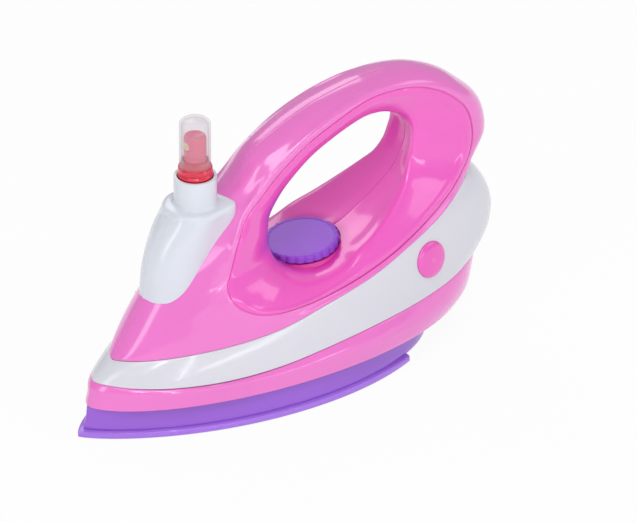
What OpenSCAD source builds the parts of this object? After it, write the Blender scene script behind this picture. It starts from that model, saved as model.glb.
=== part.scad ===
// Toy steam iron with a working water sprayer, a turning dial and a press button.
// Millimetres, Z up, the nose toward +X, the button on the +Y side, the sole on Z = 0.

/* [Body] */
// Length from the tip of the sole to the bulge at the back
body_length = 216.5; // [180:0.5:260]
// Width over the skirt
body_width = 78; // [66:0.5:96]
// Height of the top of the handle over the sole
handle_height = 131; // [115:0.5:155]
// Thickness of the moulded shells
wall = 2; // [1.6:0.1:2.6]
// Width of the groove round the grip lining
groove_width = 0.6; // [0.3:0.1:1]
// Diameter of the joining screw shafts
screw_shaft = 2.6; // [2:0.1:3]

/* [Sole] */
// Thickness of the sole plate
sole_thickness = 3; // [2.4:0.1:4]
// Width of the sole plate
sole_width = 77.6; // [66:0.2:90]
// Width of the sole plate's rim behind the battery door
sole_rear_rim = 2.5; // [2:0.1:4]
// Height of the tray that stands on the sole plate
tray_height = 10.5; // [9:0.5:13]
// Width of the tray
tray_width = 73.5; // [62:0.5:88]
// Share of the body's length at which the tray ends
tray_end_share = 0.83372; // [0.81:0.005:0.86]
// Thickness of the tray floor
tray_floor = 2.5; // [2:0.1:3.5]

/* [Skirt and band] */
// Height of the widest line of the skirt over its lower edge
skirt_belly_height = 7.5; // [5:0.5:9]
// Width of the skirt at its lower edge
skirt_base_width = 76.6; // [66:0.2:90]
// Distance from the back of the body to the back of the skirt belly
skirt_rear_inset = 10.8; // [8:0.1:16]
// Width of the white band at its lower edge
band_base_width = 74; // [62:0.5:88]
// Width of the white band at its upper edge
band_top_width = 66.6; // [56:0.2:80]
// Outward swell of the white band along its sides
band_swell = 1.2; // [0.6:0.1:2]

/* [Sprayer] */
// Height of the flat top of the white hood
hood_height = 97; // [94:0.5:100]
// Diameter of the round neck on the hood
neck_diameter = 18.8; // [17:0.1:21]
// Height of the neck over the hood
neck_height = 13.5; // [12:0.5:18]
// Diameter of the screw collar of the pump
collar_diameter = 15.5; // [14:0.1:16]
// Height of the collar that shows over the neck
collar_rise = 4.6; // [3:0.1:6]
// Diameter of the spray head
head_diameter = 10; // [9:0.1:11]
// Height of the spray head over the collar
head_rise = 15; // [13:0.1:18]
// Outer diameter of the clear cap
cap_diameter = 14; // [13.6:0.1:15]
// Height of the clear cap
cap_height = 22.8; // [21:0.1:28]
// Wall of the clear cap
cap_wall = 0.8; // [0.6:0.05:1.1]
// Travel of the spray head
spray_travel = 4.5; // [3:0.1:5]
// Diameter of the water tank
tank_diameter = 26; // [20:0.5:27]
// Wall of the water tank
tank_wall = 1.4; // [1:0.1:2]

/* [Dial] */
// Diameter of the dial
dial_diameter = 33; // [29:0.5:35]
// Thickness of the dial
dial_thickness = 3.2; // [2.4:0.1:4.5]
// Height of the middle of the dial top over the sole
dial_height = 61.2; // [60:0.1:63]
// Lean of the dial axis toward the nose in degrees
dial_lean = 6; // [2:0.5:9]
// Number of scallops round the dial
dial_scallops = 24; // [16:1:32]
// Diameter of the dial spindle
spindle_diameter = 5; // [4:0.1:6]

/* [Button] */
// Diameter of the side button
button_diameter = 16.4; // [14:0.1:18]
// Rise of the button dome over the white band
button_rise = 1.8; // [1:0.1:2.5]
// Travel of the button
button_travel = 1.5; // [1:0.1:2]

/* [Battery bay] */
// Diameter of a cell
cell_diameter = 14.2; // [14:0.1:14.5]
// Length of a cell with its tip
cell_length = 50.5; // [49.5:0.1:51]
// Wall of the battery box
box_wall = 1.6; // [1.2:0.1:2.2]
// Thickness of the battery door
door_thickness = 2.3; // [1.8:0.1:2.5]

/* [Hidden] */
// Running clearance between a pin and its bore, on the radius
fit = 0.05;
// Clearance between parts that move past each other
free_gap = 0.3;
// Clearance round a part that only sits in place
seat_gap = 0.15;
// How far a cutting shape runs past what it cuts
overrun = 1;
// Facets of the plain turned parts
$fn = 64;

// Curves through listed points
// A cubic piece through its two middle points
function blend(a, b, c, d, f) = b + (c - a) * f / 2
    + (2 * a - 5 * b + 4 * c - d) * f * f / 2 + (3 * b - a - 3 * c + d) * f * f * f / 2;
function looped(list, i) = list[((i % len(list)) + len(list)) % len(list)];
// Closed smooth curve, u counts the listed points
function loop_curve(list, u) = let (i = floor(u))
    blend(looped(list, i - 1), looped(list, i), looped(list, i + 1), looped(list, i + 2), u - i);
// Open smooth curve, held at its ends
function open_curve(list, u) = let (last = len(list) - 1, v = min(max(u, 0), last),
        i = min(floor(v), last - 1))
    blend(list[max(i - 1, 0)], list[i], list[i + 1], list[min(i + 2, last)], v - i);
// Closed curve with straight pieces
function loop_line(list, u) = let (i = floor(u))
    looped(list, i) * (1 + i - u) + looped(list, i + 1) * (u - i);
function clip(v) = min(max(v, 0), 1);
function mix(a, b, f) = a * (1 - f) + b * f;
function unit(v) = v / max(norm(v), 1e-9);
// Places are kept as distance back from the nose, sideways and up
function frame_x(back) = body_length / 2 - back;
function set_in_frame(p) = [frame_x(p.x), p.y, p.z];

// Plan outline at an angle from the nose (0) round to the back (180)
function plan(angle, nose, widest, rear, half, power) = let (c = cos(angle), s = max(sin(angle), 0))
    [widest - (angle < 90 ? widest - nose : rear - widest) * c,
     half * (angle < 90 ? pow(s, power) : s)];

// Distances back from the nose of the pump, the dial, the bay and the board, as shares of length
pump_share = 0.28776;
dial_share = 0.54503;
bay_share = 0.37413;
board_share = 0.5358;
pump_setback = body_length * pump_share;
dial_setback = body_length * dial_share;

// Shares that fix where each plan outline is widest and how sharp its nose is
sole_widest_share = 0.49;
sole_power_share = 1.65;
body_widest_share = 0.517;
shell_widest_share = 0.499;
body_power_share = 1.27;
// Extra depth of material inside the sharp nose, as a share of the wall
nose_fill_share = 1.4;
// Height of the widest line between belly and band, and the round below it
skirt_side_share = 0.3;
skirt_round_share = 0.72;
skirt_bulge_share = 0.62;

skirt_base_z = sole_thickness + tray_height;
housing_rise = handle_height - skirt_base_z;
// How far the nose and the back of each outline stay behind those of the body
tray_nose_inset = 3;
skirt_base_nose_inset = 5;
skirt_nose_inset = 6.5;
band_nose_inset = 8.3;
shell_nose_inset = 18;
skirt_base_rear_inset = 18;
band_rear_inset = 8;
shell_rear_inset = 12;
sole_tail_inset = 33.5;

function sole_plan(angle, inset) = plan(angle, inset, body_length * sole_widest_share,
    body_length - sole_tail_inset - inset, sole_width / 2 - inset, sole_power_share);
function tray_plan(angle, inset) = plan(angle, tray_nose_inset + nose_fill_share * inset,
    body_length * sole_widest_share, body_length * tray_end_share - inset,
    tray_width / 2 - inset, sole_power_share);
function skirt_base_plan(angle, inset) = plan(angle,
    skirt_base_nose_inset + nose_fill_share * inset, body_length * body_widest_share,
    body_length - skirt_base_rear_inset - inset, skirt_base_width / 2 - inset, body_power_share);
function skirt_plan(angle, inset) = plan(angle, skirt_nose_inset + nose_fill_share * inset,
    body_length * body_widest_share, body_length - skirt_rear_inset - inset,
    body_width / 2 - inset, body_power_share);
function band_plan(angle, inset) = plan(angle, band_nose_inset + nose_fill_share * inset,
    body_length * shell_widest_share, body_length - band_rear_inset - inset,
    band_base_width / 2 - inset, body_power_share);
function shell_plan(angle, inset) = plan(angle, shell_nose_inset + nose_fill_share * inset,
    body_length * shell_widest_share, body_length - shell_rear_inset - inset,
    band_top_width / 2 - inset, body_power_share);

// Heights of the two edges of the white band at every fifteen degrees, as shares of the housing
band_base_shares = [0.1, 0.098, 0.09, 0.083, 0.082, 0.093, 0.115, 0.131, 0.141, 0.151, 0.166,
    0.176, 0.179];
band_top_shares = [0.167, 0.173, 0.181, 0.193, 0.207, 0.23, 0.276, 0.319, 0.379, 0.43, 0.484,
    0.517, 0.519];
band_step_angle = 15;
function edge_height(shares, angle) = skirt_base_z
    + housing_rise * open_curve([for (s = shares) [s]], angle / band_step_angle).x;

// Opening of the handle at the middle plane: distance back and height, as shares
gap_loop_shares = [[0.449, 0.481], [0.453, 0.447], [0.459, 0.409], [0.471, 0.381], [0.492, 0.363],
    [0.522, 0.359], [0.557, 0.367], [0.6, 0.394], [0.651, 0.428], [0.707, 0.487], [0.753, 0.549],
    [0.774, 0.587], [0.789, 0.634], [0.797, 0.672], [0.8, 0.706], [0.799, 0.74], [0.791, 0.773],
    [0.774, 0.804], [0.746, 0.829], [0.718, 0.839], [0.686, 0.838], [0.654, 0.826], [0.603, 0.797],
    [0.55, 0.751], [0.501, 0.681], [0.473, 0.624], [0.456, 0.57], [0.45, 0.523]];
// Groove between the grip lining and the outer shells: back, sideways and up, as shares
groove_loop_shares = [[0.306, 0.538, 0.479], [0.292, 0.59, 0.434], [0.298, 0.667, 0.377],
    [0.333, 0.726, 0.321], [0.385, 0.795, 0.297], [0.456, 0.821, 0.297], [0.522, 0.821, 0.31],
    [0.601, 0.795, 0.334], [0.684, 0.744, 0.375], [0.77, 0.641, 0.429], [0.841, 0.513, 0.481],
    [0.88, 0.423, 0.52], [0.912, 0.359, 0.579], [0.925, 0.333, 0.646], [0.924, 0.321, 0.714],
    [0.914, 0.308, 0.775], [0.887, 0.308, 0.836], [0.849, 0.308, 0.892], [0.802, 0.308, 0.935],
    [0.755, 0.308, 0.957], [0.704, 0.303, 0.963], [0.655, 0.313, 0.954], [0.583, 0.333, 0.914],
    [0.516, 0.341, 0.862], [0.45, 0.346, 0.783], [0.407, 0.359, 0.718], [0.365, 0.397, 0.66],
    [0.33, 0.5, 0.587]];
// Crest of the handle from the back of the band over the top to the nose: back and up, as shares
crest_shares = [[0.945, 0.519], [0.982, 0.634], [0.979, 0.728], [0.96, 0.798],
    [0.926, 0.862], [0.882, 0.928], [0.827, 0.978], [0.771, 1], [0.716, 1], [0.658, 0.992],
    [0.568, 0.963], [0.49, 0.917], [0.42, 0.852], [0.37, 0.745], [0.286, 0.626], [0.166, 0.391],
    [0.083, 0.167]];
// Angles at which the first rows of the loops meet the upper edge of the band
edge_row_angles = [0, 34, 50, 62, 74, 84, 93, 104, 115, 129, 142, 157, 180];
rows = len(groove_loop_shares);
edge_rows = len(edge_row_angles) - 1;
// How far the crest leaves the loops square, and where the nose takes over
end_turn_shares = [0.5, 0, 0, 0, 0, 0, 0, 0, 0, 0, 0, 0, 0.5, 1, 1, 1, 1, 1, 1, 1, 1, 1, 1, 1, 1, 1,
    1, 1];
nose_shares = [1, 1, 1, 0.6, 0.2, 0, 0, 0, 0, 0, 0, 0, 0, 0, 0, 0, 0, 0, 0, 0, 0, 0, 0, 0, 0, 0.4,
    0.9, 1];
// Where the lining is flat across, and where it swells into the palm
flat_shares = [0, 0.1, 0.25, 0.45, 0.65, 0.8, 0.9, 1, 1, 1, 1, 1, 1, 1, 0.95, 0.85, 0.65, 0.4, 0.2,
    0.05, 0, 0, 0, 0, 0, 0, 0, 0];
swell_shares = [0, 0, 0, 0, 0, 0.1, 0.3, 0.55, 0.75, 0.9, 1, 1.1, 1.2, 1.25, 1.2, 1.05, 0.8, 0.45,
    0.2, 0.05, 0, 0, 0, 0, 0, 0, 0, 0];
palm_swell = 4.5;
// Cross sections of the lining: sideways and inward, as shares
round_section_shares = [[0, 0], [0.2, 0.02], [0.39, 0.08], [0.57, 0.18], [0.72, 0.31], [0.84, 0.46],
    [0.93, 0.63], [0.98, 0.81], [1, 1]];
flat_section_shares = [[0, 0], [0.25, 0], [0.5, 0], [0.7, 0.03], [0.83, 0.12], [0.91, 0.29],
    [0.95, 0.5], [0.985, 0.76], [1, 1]];
swell_section_shares = [0, 0.1, 0.38, 0.75, 1, 0.85, 0.5, 0.15, 0];
// Handle length of a quarter arc drawn as a cubic
arc_share = 0.5523;

// Mesh of the moulded shells: steps between loop rows, and steps across
row_steps = 3;
cross_steps = 8;
band_steps = 5;

function gap_point(u) = let (s = loop_curve(gap_loop_shares, u))
    [body_length * s.x, 0, skirt_base_z + housing_rise * s.y];
function groove_point(u) = let (s = loop_curve(groove_loop_shares, u))
    [body_length * s.x, body_width / 2 * s.y, skirt_base_z + housing_rise * s.z];
function crest_point(u) = let (s = open_curve(crest_shares, u))
    [body_length * s.x, 0, skirt_base_z + housing_rise * s.y];
function edge_angle(u) = min(max(open_curve([for (a = edge_row_angles) [a]], u).x, 0), 180);
function edge_point(angle, inset) = let (p = shell_plan(angle, inset))
    [p.x, p.y, edge_height(band_top_shares, angle)];
function outer_edge(u) = u <= edge_rows ? edge_point(edge_angle(u), 0) : crest_point(u - edge_rows);

// Side of the nose at a distance back and a height
crest_steps = 5;
crest_rows = len(crest_shares) - 1;
nose_crest = [for (k = [0 : 8 * crest_steps]) let (p = crest_point(crest_rows - k / crest_steps))
    [p.x, p.z]];
function nose_side(back, z) = let (widest = body_length * shell_widest_share,
        c = min(max((widest - back) / (widest - shell_nose_inset), -1), 1), angle = acos(c),
        base = edge_point(angle, 0), top = lookup(back, nose_crest),
        q = clip((z - base.z) / max(top - base.z, wall / 9)))
    base.y * pow(1 - pow(q, sole_power_share), 1 / sole_power_share);

// Lining from the opening (v = 0) to the groove (v = 1)
function lining_point(u, v) = let (a = gap_point(u), p = groove_point(u),
        q = v * (len(flat_section_shares) - 1),
        r = open_curve(round_section_shares, q), f = open_curve(flat_section_shares, q),
        h = open_curve([for (s = swell_section_shares) [s]], q).x,
        flat = clip(loop_curve([for (s = flat_shares) [s]], u).x),
        swell = loop_curve([for (s = swell_shares) [s]], u).x,
        s = mix(r, f, flat), d = [p.x - a.x, 0, p.z - a.z])
    a + [0, s.x * p.y, 0] + d * s.y - unit(d) * h * palm_swell * swell;
// Outer shell from the groove (v = 0) to the band and the crest (v = 1)
function casing_point(u, v) = let (p = groove_point(u), o = outer_edge(u),
        turn = loop_line(end_turn_shares, u), nose = loop_line(nose_shares, u),
        c1 = p + arc_share * [o.x - p.x, 0, o.z - p.z],
        c2 = o + arc_share * [0, turn * p.y, (1 - turn) * (p.z - o.z)],
        w = 1 - v,
        b = w * w * w * p + 3 * w * w * v * c1 + 3 * w * v * v * c2 + v * v * v * o,
        straight = p + (o - p) * (1 - pow(w, 1.5)),
        m = mix(b, straight, nose), k = clip(2 * v), ease = k * k * (3 - 2 * k) * nose)
    v == 1 ? o : [m.x, mix(b.y, nose_side(m.x, m.z), ease), m.z];

count = rows * row_steps;
lining = [for (i = [0 : count - 1]) [for (j = [0 : cross_steps])
    lining_point(i / row_steps, j / cross_steps)]];
casing = [for (i = [0 : count - 1]) [for (j = [0 : cross_steps])
    casing_point(i / row_steps, j / cross_steps)]];

// Outward direction of a grid of points at a row and a step
function facing(grid, i, j) = let (last = len(grid[0]) - 1)
    unit(cross(looped(grid, i + 1)[j] - looped(grid, i - 1)[j],
        grid[i][min(j + 1, last)] - grid[i][max(j - 1, 0)]));
function level(v) = unit([v.x, 0, v.z]);
function kept_left(p) = [p.x, max(p.y, 0), p.z];
// Shared inner corner under the groove
function groove_floor(i) = kept_left(groove_point(i / row_steps)
    - wall * unit(facing(lining, i, cross_steps) + facing(casing, i, 0)));
function drawn_back(p, q) = p + unit(q - p) * groove_width / 2;

// Closed section of the lining at a row: the outer face, then the inner face back
lining_sections = [for (i = [count - 1 : -1 : 0]) [
    for (j = [0 : cross_steps - 1]) lining[i][j],
    drawn_back(lining[i][cross_steps], lining[i][cross_steps - 1]),
    groove_floor(i),
    for (j = [cross_steps - 1 : -1 : 1]) kept_left(lining[i][j] - wall * unit(2 * facing(lining, i, j)
        + facing(lining, i, j - 1) + facing(lining, i, j + 1))),
    lining[i][0] - wall * level(facing(lining, i, 0))]];
// Inner end of the outer shell: on the band edge, at its two ends and on the crest
function casing_end(i) = let (u = i / row_steps, o = outer_edge(u))
    u <= edge_rows ? edge_point(edge_angle(u), wall)
        : o - wall * level(facing(casing, i, cross_steps));
// Inner face of the outer shell: square to it, but straight across where the strip is narrow
narrow_strip = 9 * wall;
wide_strip = 13 * wall;
function casing_inward(i, j) = let (u = i / row_steps, n = facing(casing, i, j))
    u > edge_rows ? n : unit(mix(n, out_of_plan(edge_angle(u)), clip(2 * j / cross_steps - 1)));
function casing_inside(i, j) = let (a = groove_floor(i), b = casing_end(i),
        width = norm(casing[i][cross_steps] - casing[i][0]),
        f = clip((wide_strip - width) / (wide_strip - narrow_strip)))
    kept_left(mix(casing[i][j] - wall * casing_inward(i, j), mix(a, b, j / cross_steps), f));
casing_sections = [for (i = [count - 1 : -1 : 0]) [
    drawn_back(casing[i][0], casing[i][1]),
    for (j = [1 : cross_steps]) casing[i][j],
    casing_end(i),
    for (j = [cross_steps - 1 : -1 : 1]) casing_inside(i, j),
    groove_floor(i)]];

// Solid through closed sections that run round in a ring
module ring_solid(sections) {
    n = len(sections);
    m = len(sections[0]);
    points = [for (s = sections) for (p = s) set_in_frame(p)];
    faces = [for (i = [0 : n - 1]) for (j = [0 : m - 1])
        let (a = i * m + j, b = i * m + (j + 1) % m, c = ((i + 1) % n) * m + (j + 1) % m,
            d = ((i + 1) % n) * m + j)
        for (f = [[a, b, c], [a, c, d]]) f];
    polyhedron(points, faces);
}

// Columns round the whole body: an angle and a side
columns = [for (k = [0 : edge_rows * row_steps]) [edge_angle(k / row_steps), 1],
    for (k = [edge_rows * row_steps - 1 : -1 : 1]) [edge_angle(k / row_steps), -1]];
function sided(p, side) = [p.x, p.y * side, p.z];
function out_of_plan(angle) = [-cos(angle), sin(angle), 0];

// White band: from the skirt (v = 0) up to the shells (v = 1)
rear_swell = body_length - (2 * body_length - band_rear_inset - shell_rear_inset) / 2;
function rear_weight(angle) = angle > 90 ? pow(cos(angle), 4) : 0;
function band_base(angle, inset) = let (p = band_plan(angle, inset))
    [p.x, p.y, edge_height(band_base_shares, angle)];
function band_point(angle, v, inset) = let (a = band_base(angle, inset),
        b = edge_point(angle, inset), back = rear_weight(angle),
        swell = band_swell + (2 * rear_swell - band_swell) * back,
        m = (a + b) / 2 + out_of_plan(angle) * swell - [0, 0, back * (b.z - a.z) * 0.08],
        w = 1 - v)
    w * w * a + 2 * w * v * m + v * v * b;

// Button place on the band: angle round the plan and share of the band height
button_angle = 125.8;
button_height_share = 0.58;
button_step = 1;
button_place = band_point(button_angle, button_height_share, 0);
button_facing = let (
        e = band_point(button_angle + button_step, button_height_share, 0)
            - band_point(button_angle - button_step, button_height_share, 0),
        r = band_point(button_angle, button_height_share + 0.02, 0)
            - band_point(button_angle, button_height_share - 0.02, 0),
        n = unit(cross(r, e)))
    n.y < 0 ? -n : n;
// Moves drawn shapes so that their Z runs out of the button
module at_button() {
    p = set_in_frame(button_place);
    n = [-button_facing.x, button_facing.y, button_facing.z];
    translate(p)
        rotate([0, acos(n.z), atan2(n.y, n.x)])
            children();
}

// Dial place: the middle of its top face
module at_dial() {
    translate([body_length / 2 - dial_setback, 0, dial_height])
        rotate([0, dial_lean, 0])
            children();
}
module at_pump() {
    translate([body_length / 2 - pump_setback, 0, 0])
        children();
}
module tube(outer, inner, low, high) {
    translate([0, 0, low])
        difference() {
            cylinder(d = outer, h = high - low);
            translate([0, 0, -overrun])
                cylinder(d = inner, h = high - low + 2 * overrun);
        }
}
module rod(diameter, low, high) {
    translate([0, 0, low])
        cylinder(d = diameter, h = high - low);
}
// Block between two corners
module block(a, b) {
    translate(a)
        cube(b - a);
}

// Screws through the sole: distance back and sideways, as shares of the length and half width
sole_screw_shares = [[0.1524, 0], [0.3695, 0.6667], [0.3695, -0.6667], [0.6836, 0.5769],
    [0.6836, -0.5769]];
screw_head = 2 * screw_shaft;
screw_head_height = 1.6;
screw_recess = 0.3;
screw_floor = 1.1;
screw_post = screw_shaft * 2.7;
module at_sole_screws() {
    for (p = sole_screw_shares)
        translate([frame_x(body_length * p.x), body_width / 2 * p.y, 0])
            children();
}

// Battery bay
cell_gap = 0.4;
cell_tip = 1;
cell_tip_share = 0.38;
cell_shift_share = 0.4;
contact_room = 4;
contact_sheet = 0.4;
bay_length = cell_length + contact_room;
bay_width = 2 * cell_diameter + 3 * cell_gap;
door_margin = 6;
door_screw_margin = 11;
door_side = 1.5;
door_width = bay_width + 2 * door_side;
door_recess = 0.4;
bay_nose = body_length * bay_share + door_margin;
cell_axis_z = sole_thickness + cell_diameter / 2 + cell_gap / 2;
bay_top = cell_axis_z + cell_diameter / 2 + cell_gap / 2;
box_top = bay_top + box_wall;
box_foot = 2.4;
door_screw_back = bay_nose + bay_length + door_screw_margin / 2;
door_back = bay_nose + bay_length + door_screw_margin;

module door_outline(gap) {
    rear = frame_x(door_back) + gap;
    front = frame_x(bay_nose - door_margin) - gap;
    translate([rear, gap - door_width / 2])
        square([front - rear, door_width - 2 * gap]);
}
module bay_outline(grow) {
    translate([frame_x(bay_nose + bay_length) - grow, -bay_width / 2 - grow])
        square([bay_length + 2 * grow, bay_width + 2 * grow]);
}

outline_step = 3;
half_angles = [for (a = [0 : outline_step : 180]) a];
back_angles = [for (a = [180 - outline_step : -outline_step : outline_step]) a];
module sole_outline() {
    points = [for (a = half_angles) let (p = sole_plan(a, 0)) [frame_x(p.x), p.y],
        for (a = back_angles) let (p = sole_plan(a, 0)) [frame_x(p.x), -p.y]];
    intersection() {
        polygon(points);
        translate([frame_x(door_back + sole_rear_rim), -sole_width])
            square([body_length, 2 * sole_width]);
    }
}
module tray_outline(inset) {
    polygon([for (a = half_angles) let (p = tray_plan(a, inset)) [frame_x(p.x), p.y],
        for (a = back_angles) let (p = tray_plan(a, inset)) [frame_x(p.x), -p.y]]);
}
// Inside of the skirt at the plate: the narrower of its lower edge and its wall at the plate top
function skirt_side_z(angle) = mix(skirt_base_z + skirt_belly_height,
    edge_height(band_base_shares, angle), skirt_side_share);
function plate_place(angle, inset) = let (a = skirt_base_plan(angle, inset),
        b = skirt_plan(angle, inset),
        f = plate_thickness / (skirt_side_z(angle) - skirt_base_z), p = mix(a, b, f))
    [angle < 90 ? max(a.x, p.x) : min(a.x, p.x), min(a.y, p.y)];
module plate_outline(inset) {
    polygon([for (c = columns) let (p = plate_place(c.x, inset)) [frame_x(p.x), p.y * c.y]]);
}

module soleplate() {
    color("mediumpurple")
        difference() {
            linear_extrude(sole_thickness)
                difference() {
                    sole_outline();
                    door_outline(0);
                }
            at_sole_screws()
                union() {
                    rod(screw_head + 2 * free_gap, -overrun, screw_head_height + screw_recess);
                    rod(screw_shaft + 2 * free_gap, 0, sole_thickness + overrun);
                }
        }
}

// Tray: a floor, a wall all round, posts for the screws and a cup for the tank
tank_cup_wall = 1.5;
tank_cup_height = 7;
speaker_room = body_length * tray_end_share - wall - door_screw_back - screw_post / 2;
speaker_share = 0.7145;
speaker_diameter = speaker_room * speaker_share;
speaker_setback = door_screw_back + screw_post / 2 + speaker_room / 2;
speaker_height = 5;
sound_slot_share = 0.3;
sound_slot_length = speaker_diameter * sound_slot_share;
sound_slot_width = speaker_diameter * sound_slot_share / 4;
sound_slot_pitch = speaker_diameter * sound_slot_share * 3 / 5;
module base_tray() {
    floor_z = sole_thickness + tray_floor;
    color("blueviolet")
        difference() {
            union() {
                translate([0, 0, sole_thickness])
                    linear_extrude(tray_floor)
                        tray_outline(0);
                translate([0, 0, floor_z])
                    linear_extrude(skirt_base_z - floor_z)
                        difference() {
                            tray_outline(0);
                            tray_outline(wall);
                        }
                at_sole_screws()
                    rod(screw_post, sole_thickness, skirt_base_z);
                translate([frame_x(door_screw_back), 0, 0])
                    rod(screw_post, sole_thickness, skirt_base_z - wall);
                at_pump()
                    tube(tank_diameter + 2 * tank_cup_wall, tank_diameter + 2 * seat_gap,
                        sole_thickness, floor_z + tank_cup_height);
            }
            translate([0, 0, sole_thickness - overrun])
                linear_extrude(tray_floor + 2 * overrun)
                    bay_outline(0);
            at_sole_screws()
                rod(screw_shaft + 2 * free_gap, sole_thickness - overrun, skirt_base_z + overrun);
            translate([frame_x(door_screw_back), 0, 0])
                rod(screw_shaft + 2 * fit, sole_thickness - overrun, skirt_base_z - 2 * wall);
            for (k = [-2 : 2])
                block([frame_x(speaker_setback) - sound_slot_length * cos(20 * k),
                    k * sound_slot_pitch - sound_slot_width / 2, sole_thickness - overrun],
                    [frame_x(speaker_setback) + sound_slot_length * cos(20 * k),
                    k * sound_slot_pitch + sound_slot_width / 2, floor_z + overrun]);
        }
}

// Plate inside the skirt that carries the works
plate_thickness = 2.2;
plate_top = skirt_base_z + plate_thickness;
plate_post_height = 8;
board_length = 56;
board_width = 46;
board_thickness = 1.6;
board_post = 5;
board_inset = 4;
board_setback = body_length * board_share;
board_gap = 3;
board_z = box_top + board_gap;
module at_board_corners() {
    for (sx = [-1, 1])
        for (sy = [-1, 1])
            translate([frame_x(board_setback) + sx * (board_length / 2 - board_inset),
                sy * (board_width / 2 - board_inset), 0])
                children();
}
module chassis_plate() {
    color("hotpink")
        difference() {
            union() {
                translate([0, 0, skirt_base_z])
                    linear_extrude(plate_thickness)
                        difference() {
                            plate_outline(wall + nose_fill_share * seat_gap);
                            bay_outline(box_wall + free_gap);
                            translate([frame_x(pump_setback), 0])
                                circle(d = tank_diameter + 2 * free_gap);
                            translate([frame_x(speaker_setback), 0])
                                circle(r = speaker_diameter / 2 - wall);
                        }
                at_sole_screws()
                    rod(screw_post, skirt_base_z, plate_top + plate_post_height);
                at_board_corners()
                    rod(board_post, skirt_base_z, board_z);
            }
            at_sole_screws()
                rod(screw_shaft + 2 * fit, skirt_base_z - overrun, plate_top + plate_post_height - wall);
        }
}

function skirt_section(c) = let (angle = c.x, side = c.y,
        s0 = skirt_base_plan(angle, 0), s1 = skirt_plan(angle, 0), s2 = band_base(angle, 0),
        i0 = skirt_base_plan(angle, wall), i1 = skirt_plan(angle, wall),
        i2 = band_base(angle, wall), side_z = skirt_side_z(angle),
        bulge = skirt_belly_height * skirt_bulge_share)
    [for (p = [[s0.x, s0.y, skirt_base_z],
        [mix(s0.x, s1.x, skirt_round_share), mix(s0.y, s1.y, skirt_round_share), skirt_base_z + bulge],
        [s1.x, s1.y, side_z], s2, i2,
        [i1.x, i1.y, side_z], [i0.x, i0.y, skirt_base_z]]) sided(p, side)];
module lower_skirt() {
    color("hotpink")
        ring_solid([for (c = columns) skirt_section(c)]);
}

function band_section(c) = [for (k = [0 : band_steps]) sided(band_point(c.x, k / band_steps, 0), c.y),
    for (k = [band_steps : -1 : 0]) sided(band_point(c.x, k / band_steps, wall), c.y)];
module white_band() {
    color("ghostwhite")
        difference() {
            ring_solid([for (c = columns) band_section(c)]);
            at_button()
                rod(button_diameter + 4 * fit, -button_diameter / 2, button_diameter / 2);
        }
}

// Joining screws of the two halves, as shares: how far round the loops, how far across the outer
// shell, and how much of the depth there the post leaves free
housing_screw_shares = [[0, 0.375, 0.2746], [0.8452, 0.25, 0.3561], [0.4881, 0.25, 0.2829]];
housing_post = screw_shaft * 2.8;
housing_head_depth = 3.4;
function screw_seat(s) = casing[round(s.x * count)][round(s.y * cross_steps)];
function screw_reach(s) = screw_seat(s).y;
module shell_posts() {
    for (s = housing_screw_shares) {
        p = screw_seat(s);
        translate([frame_x(p.x), 0, p.z])
            rotate([-90, 0, 0])
                cylinder(d = housing_post, h = p.y * (1 - s.z));
    }
}
module upper_shell_left() {
    color("violet")
        difference() {
            union() {
                ring_solid(casing_sections);
                shell_posts();
            }
            at_pump()
                rod(tank_neck + 2 * seat_gap, skirt_base_z, hood_height + neck_height);
            for (s = housing_screw_shares)
                translate([frame_x(screw_seat(s).x), 0, screw_seat(s).z])
                    rotate([-90, 0, 0])
                        rod(screw_shaft + 2 * fit, -overrun, screw_reach(s) - 2 * wall);
        }
}
module upper_shell_right() {
    color("violet")
        difference() {
            mirror([0, 1, 0])
                union() {
                    ring_solid(casing_sections);
                    shell_posts();
                }
            at_pump()
                rod(tank_neck + 2 * seat_gap, skirt_base_z, hood_height + neck_height);
            for (s = housing_screw_shares)
                translate([frame_x(screw_seat(s).x), 0, screw_seat(s).z])
                    rotate([90, 0, 0])
                        union() {
                            rod(screw_shaft + 2 * fit, -overrun, screw_reach(s));
                            rod(screw_head + 2 * seat_gap, screw_reach(s) - housing_head_depth,
                                screw_reach(s) + 2 * wall);
                        }
        }
}
module housing_screws() {
    for (s = housing_screw_shares)
        color("silver")
            translate([frame_x(screw_seat(s).x), 0, screw_seat(s).z])
                rotate([90, 0, 0])
                    union() {
                        rod(screw_shaft, wall * 2.5 - screw_reach(s),
                            screw_reach(s) - housing_head_depth + screw_head_height / 4);
                        difference() {
                            rod(screw_head, screw_reach(s) - housing_head_depth,
                                screw_reach(s) - housing_head_depth + screw_head_height);
                            translate([0, 0, screw_reach(s) - housing_head_depth + screw_head_height])
                                driver_cross();
                        }
                    }
}
// Cross recess of a screw head, cut down from its top
driver_arm = 0.7;
driver_depth = 0.9;
module driver_cross() {
    for (turn = [0, 90])
        rotate([0, 0, turn])
            translate([-driver_arm / 2, -screw_head / 3, -driver_depth])
                cube([driver_arm, screw_head * 2 / 3, driver_depth + overrun]);
}

// Well of the dial, cut square to the dial through the lining
seat_margin = 1.1;
seat_diameter = dial_diameter + 2 * seat_margin;
seat_depth = 13;
module liner_half() {
    difference() {
        ring_solid(lining_sections);
        at_dial()
            rod(seat_diameter, -seat_depth - 2 * wall, seat_depth);
    }
}
module grip_liner_left() {
    color("orchid")
        liner_half();
}
module grip_liner_right() {
    color("orchid")
        mirror([0, 1, 0])
            liner_half();
}

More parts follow.
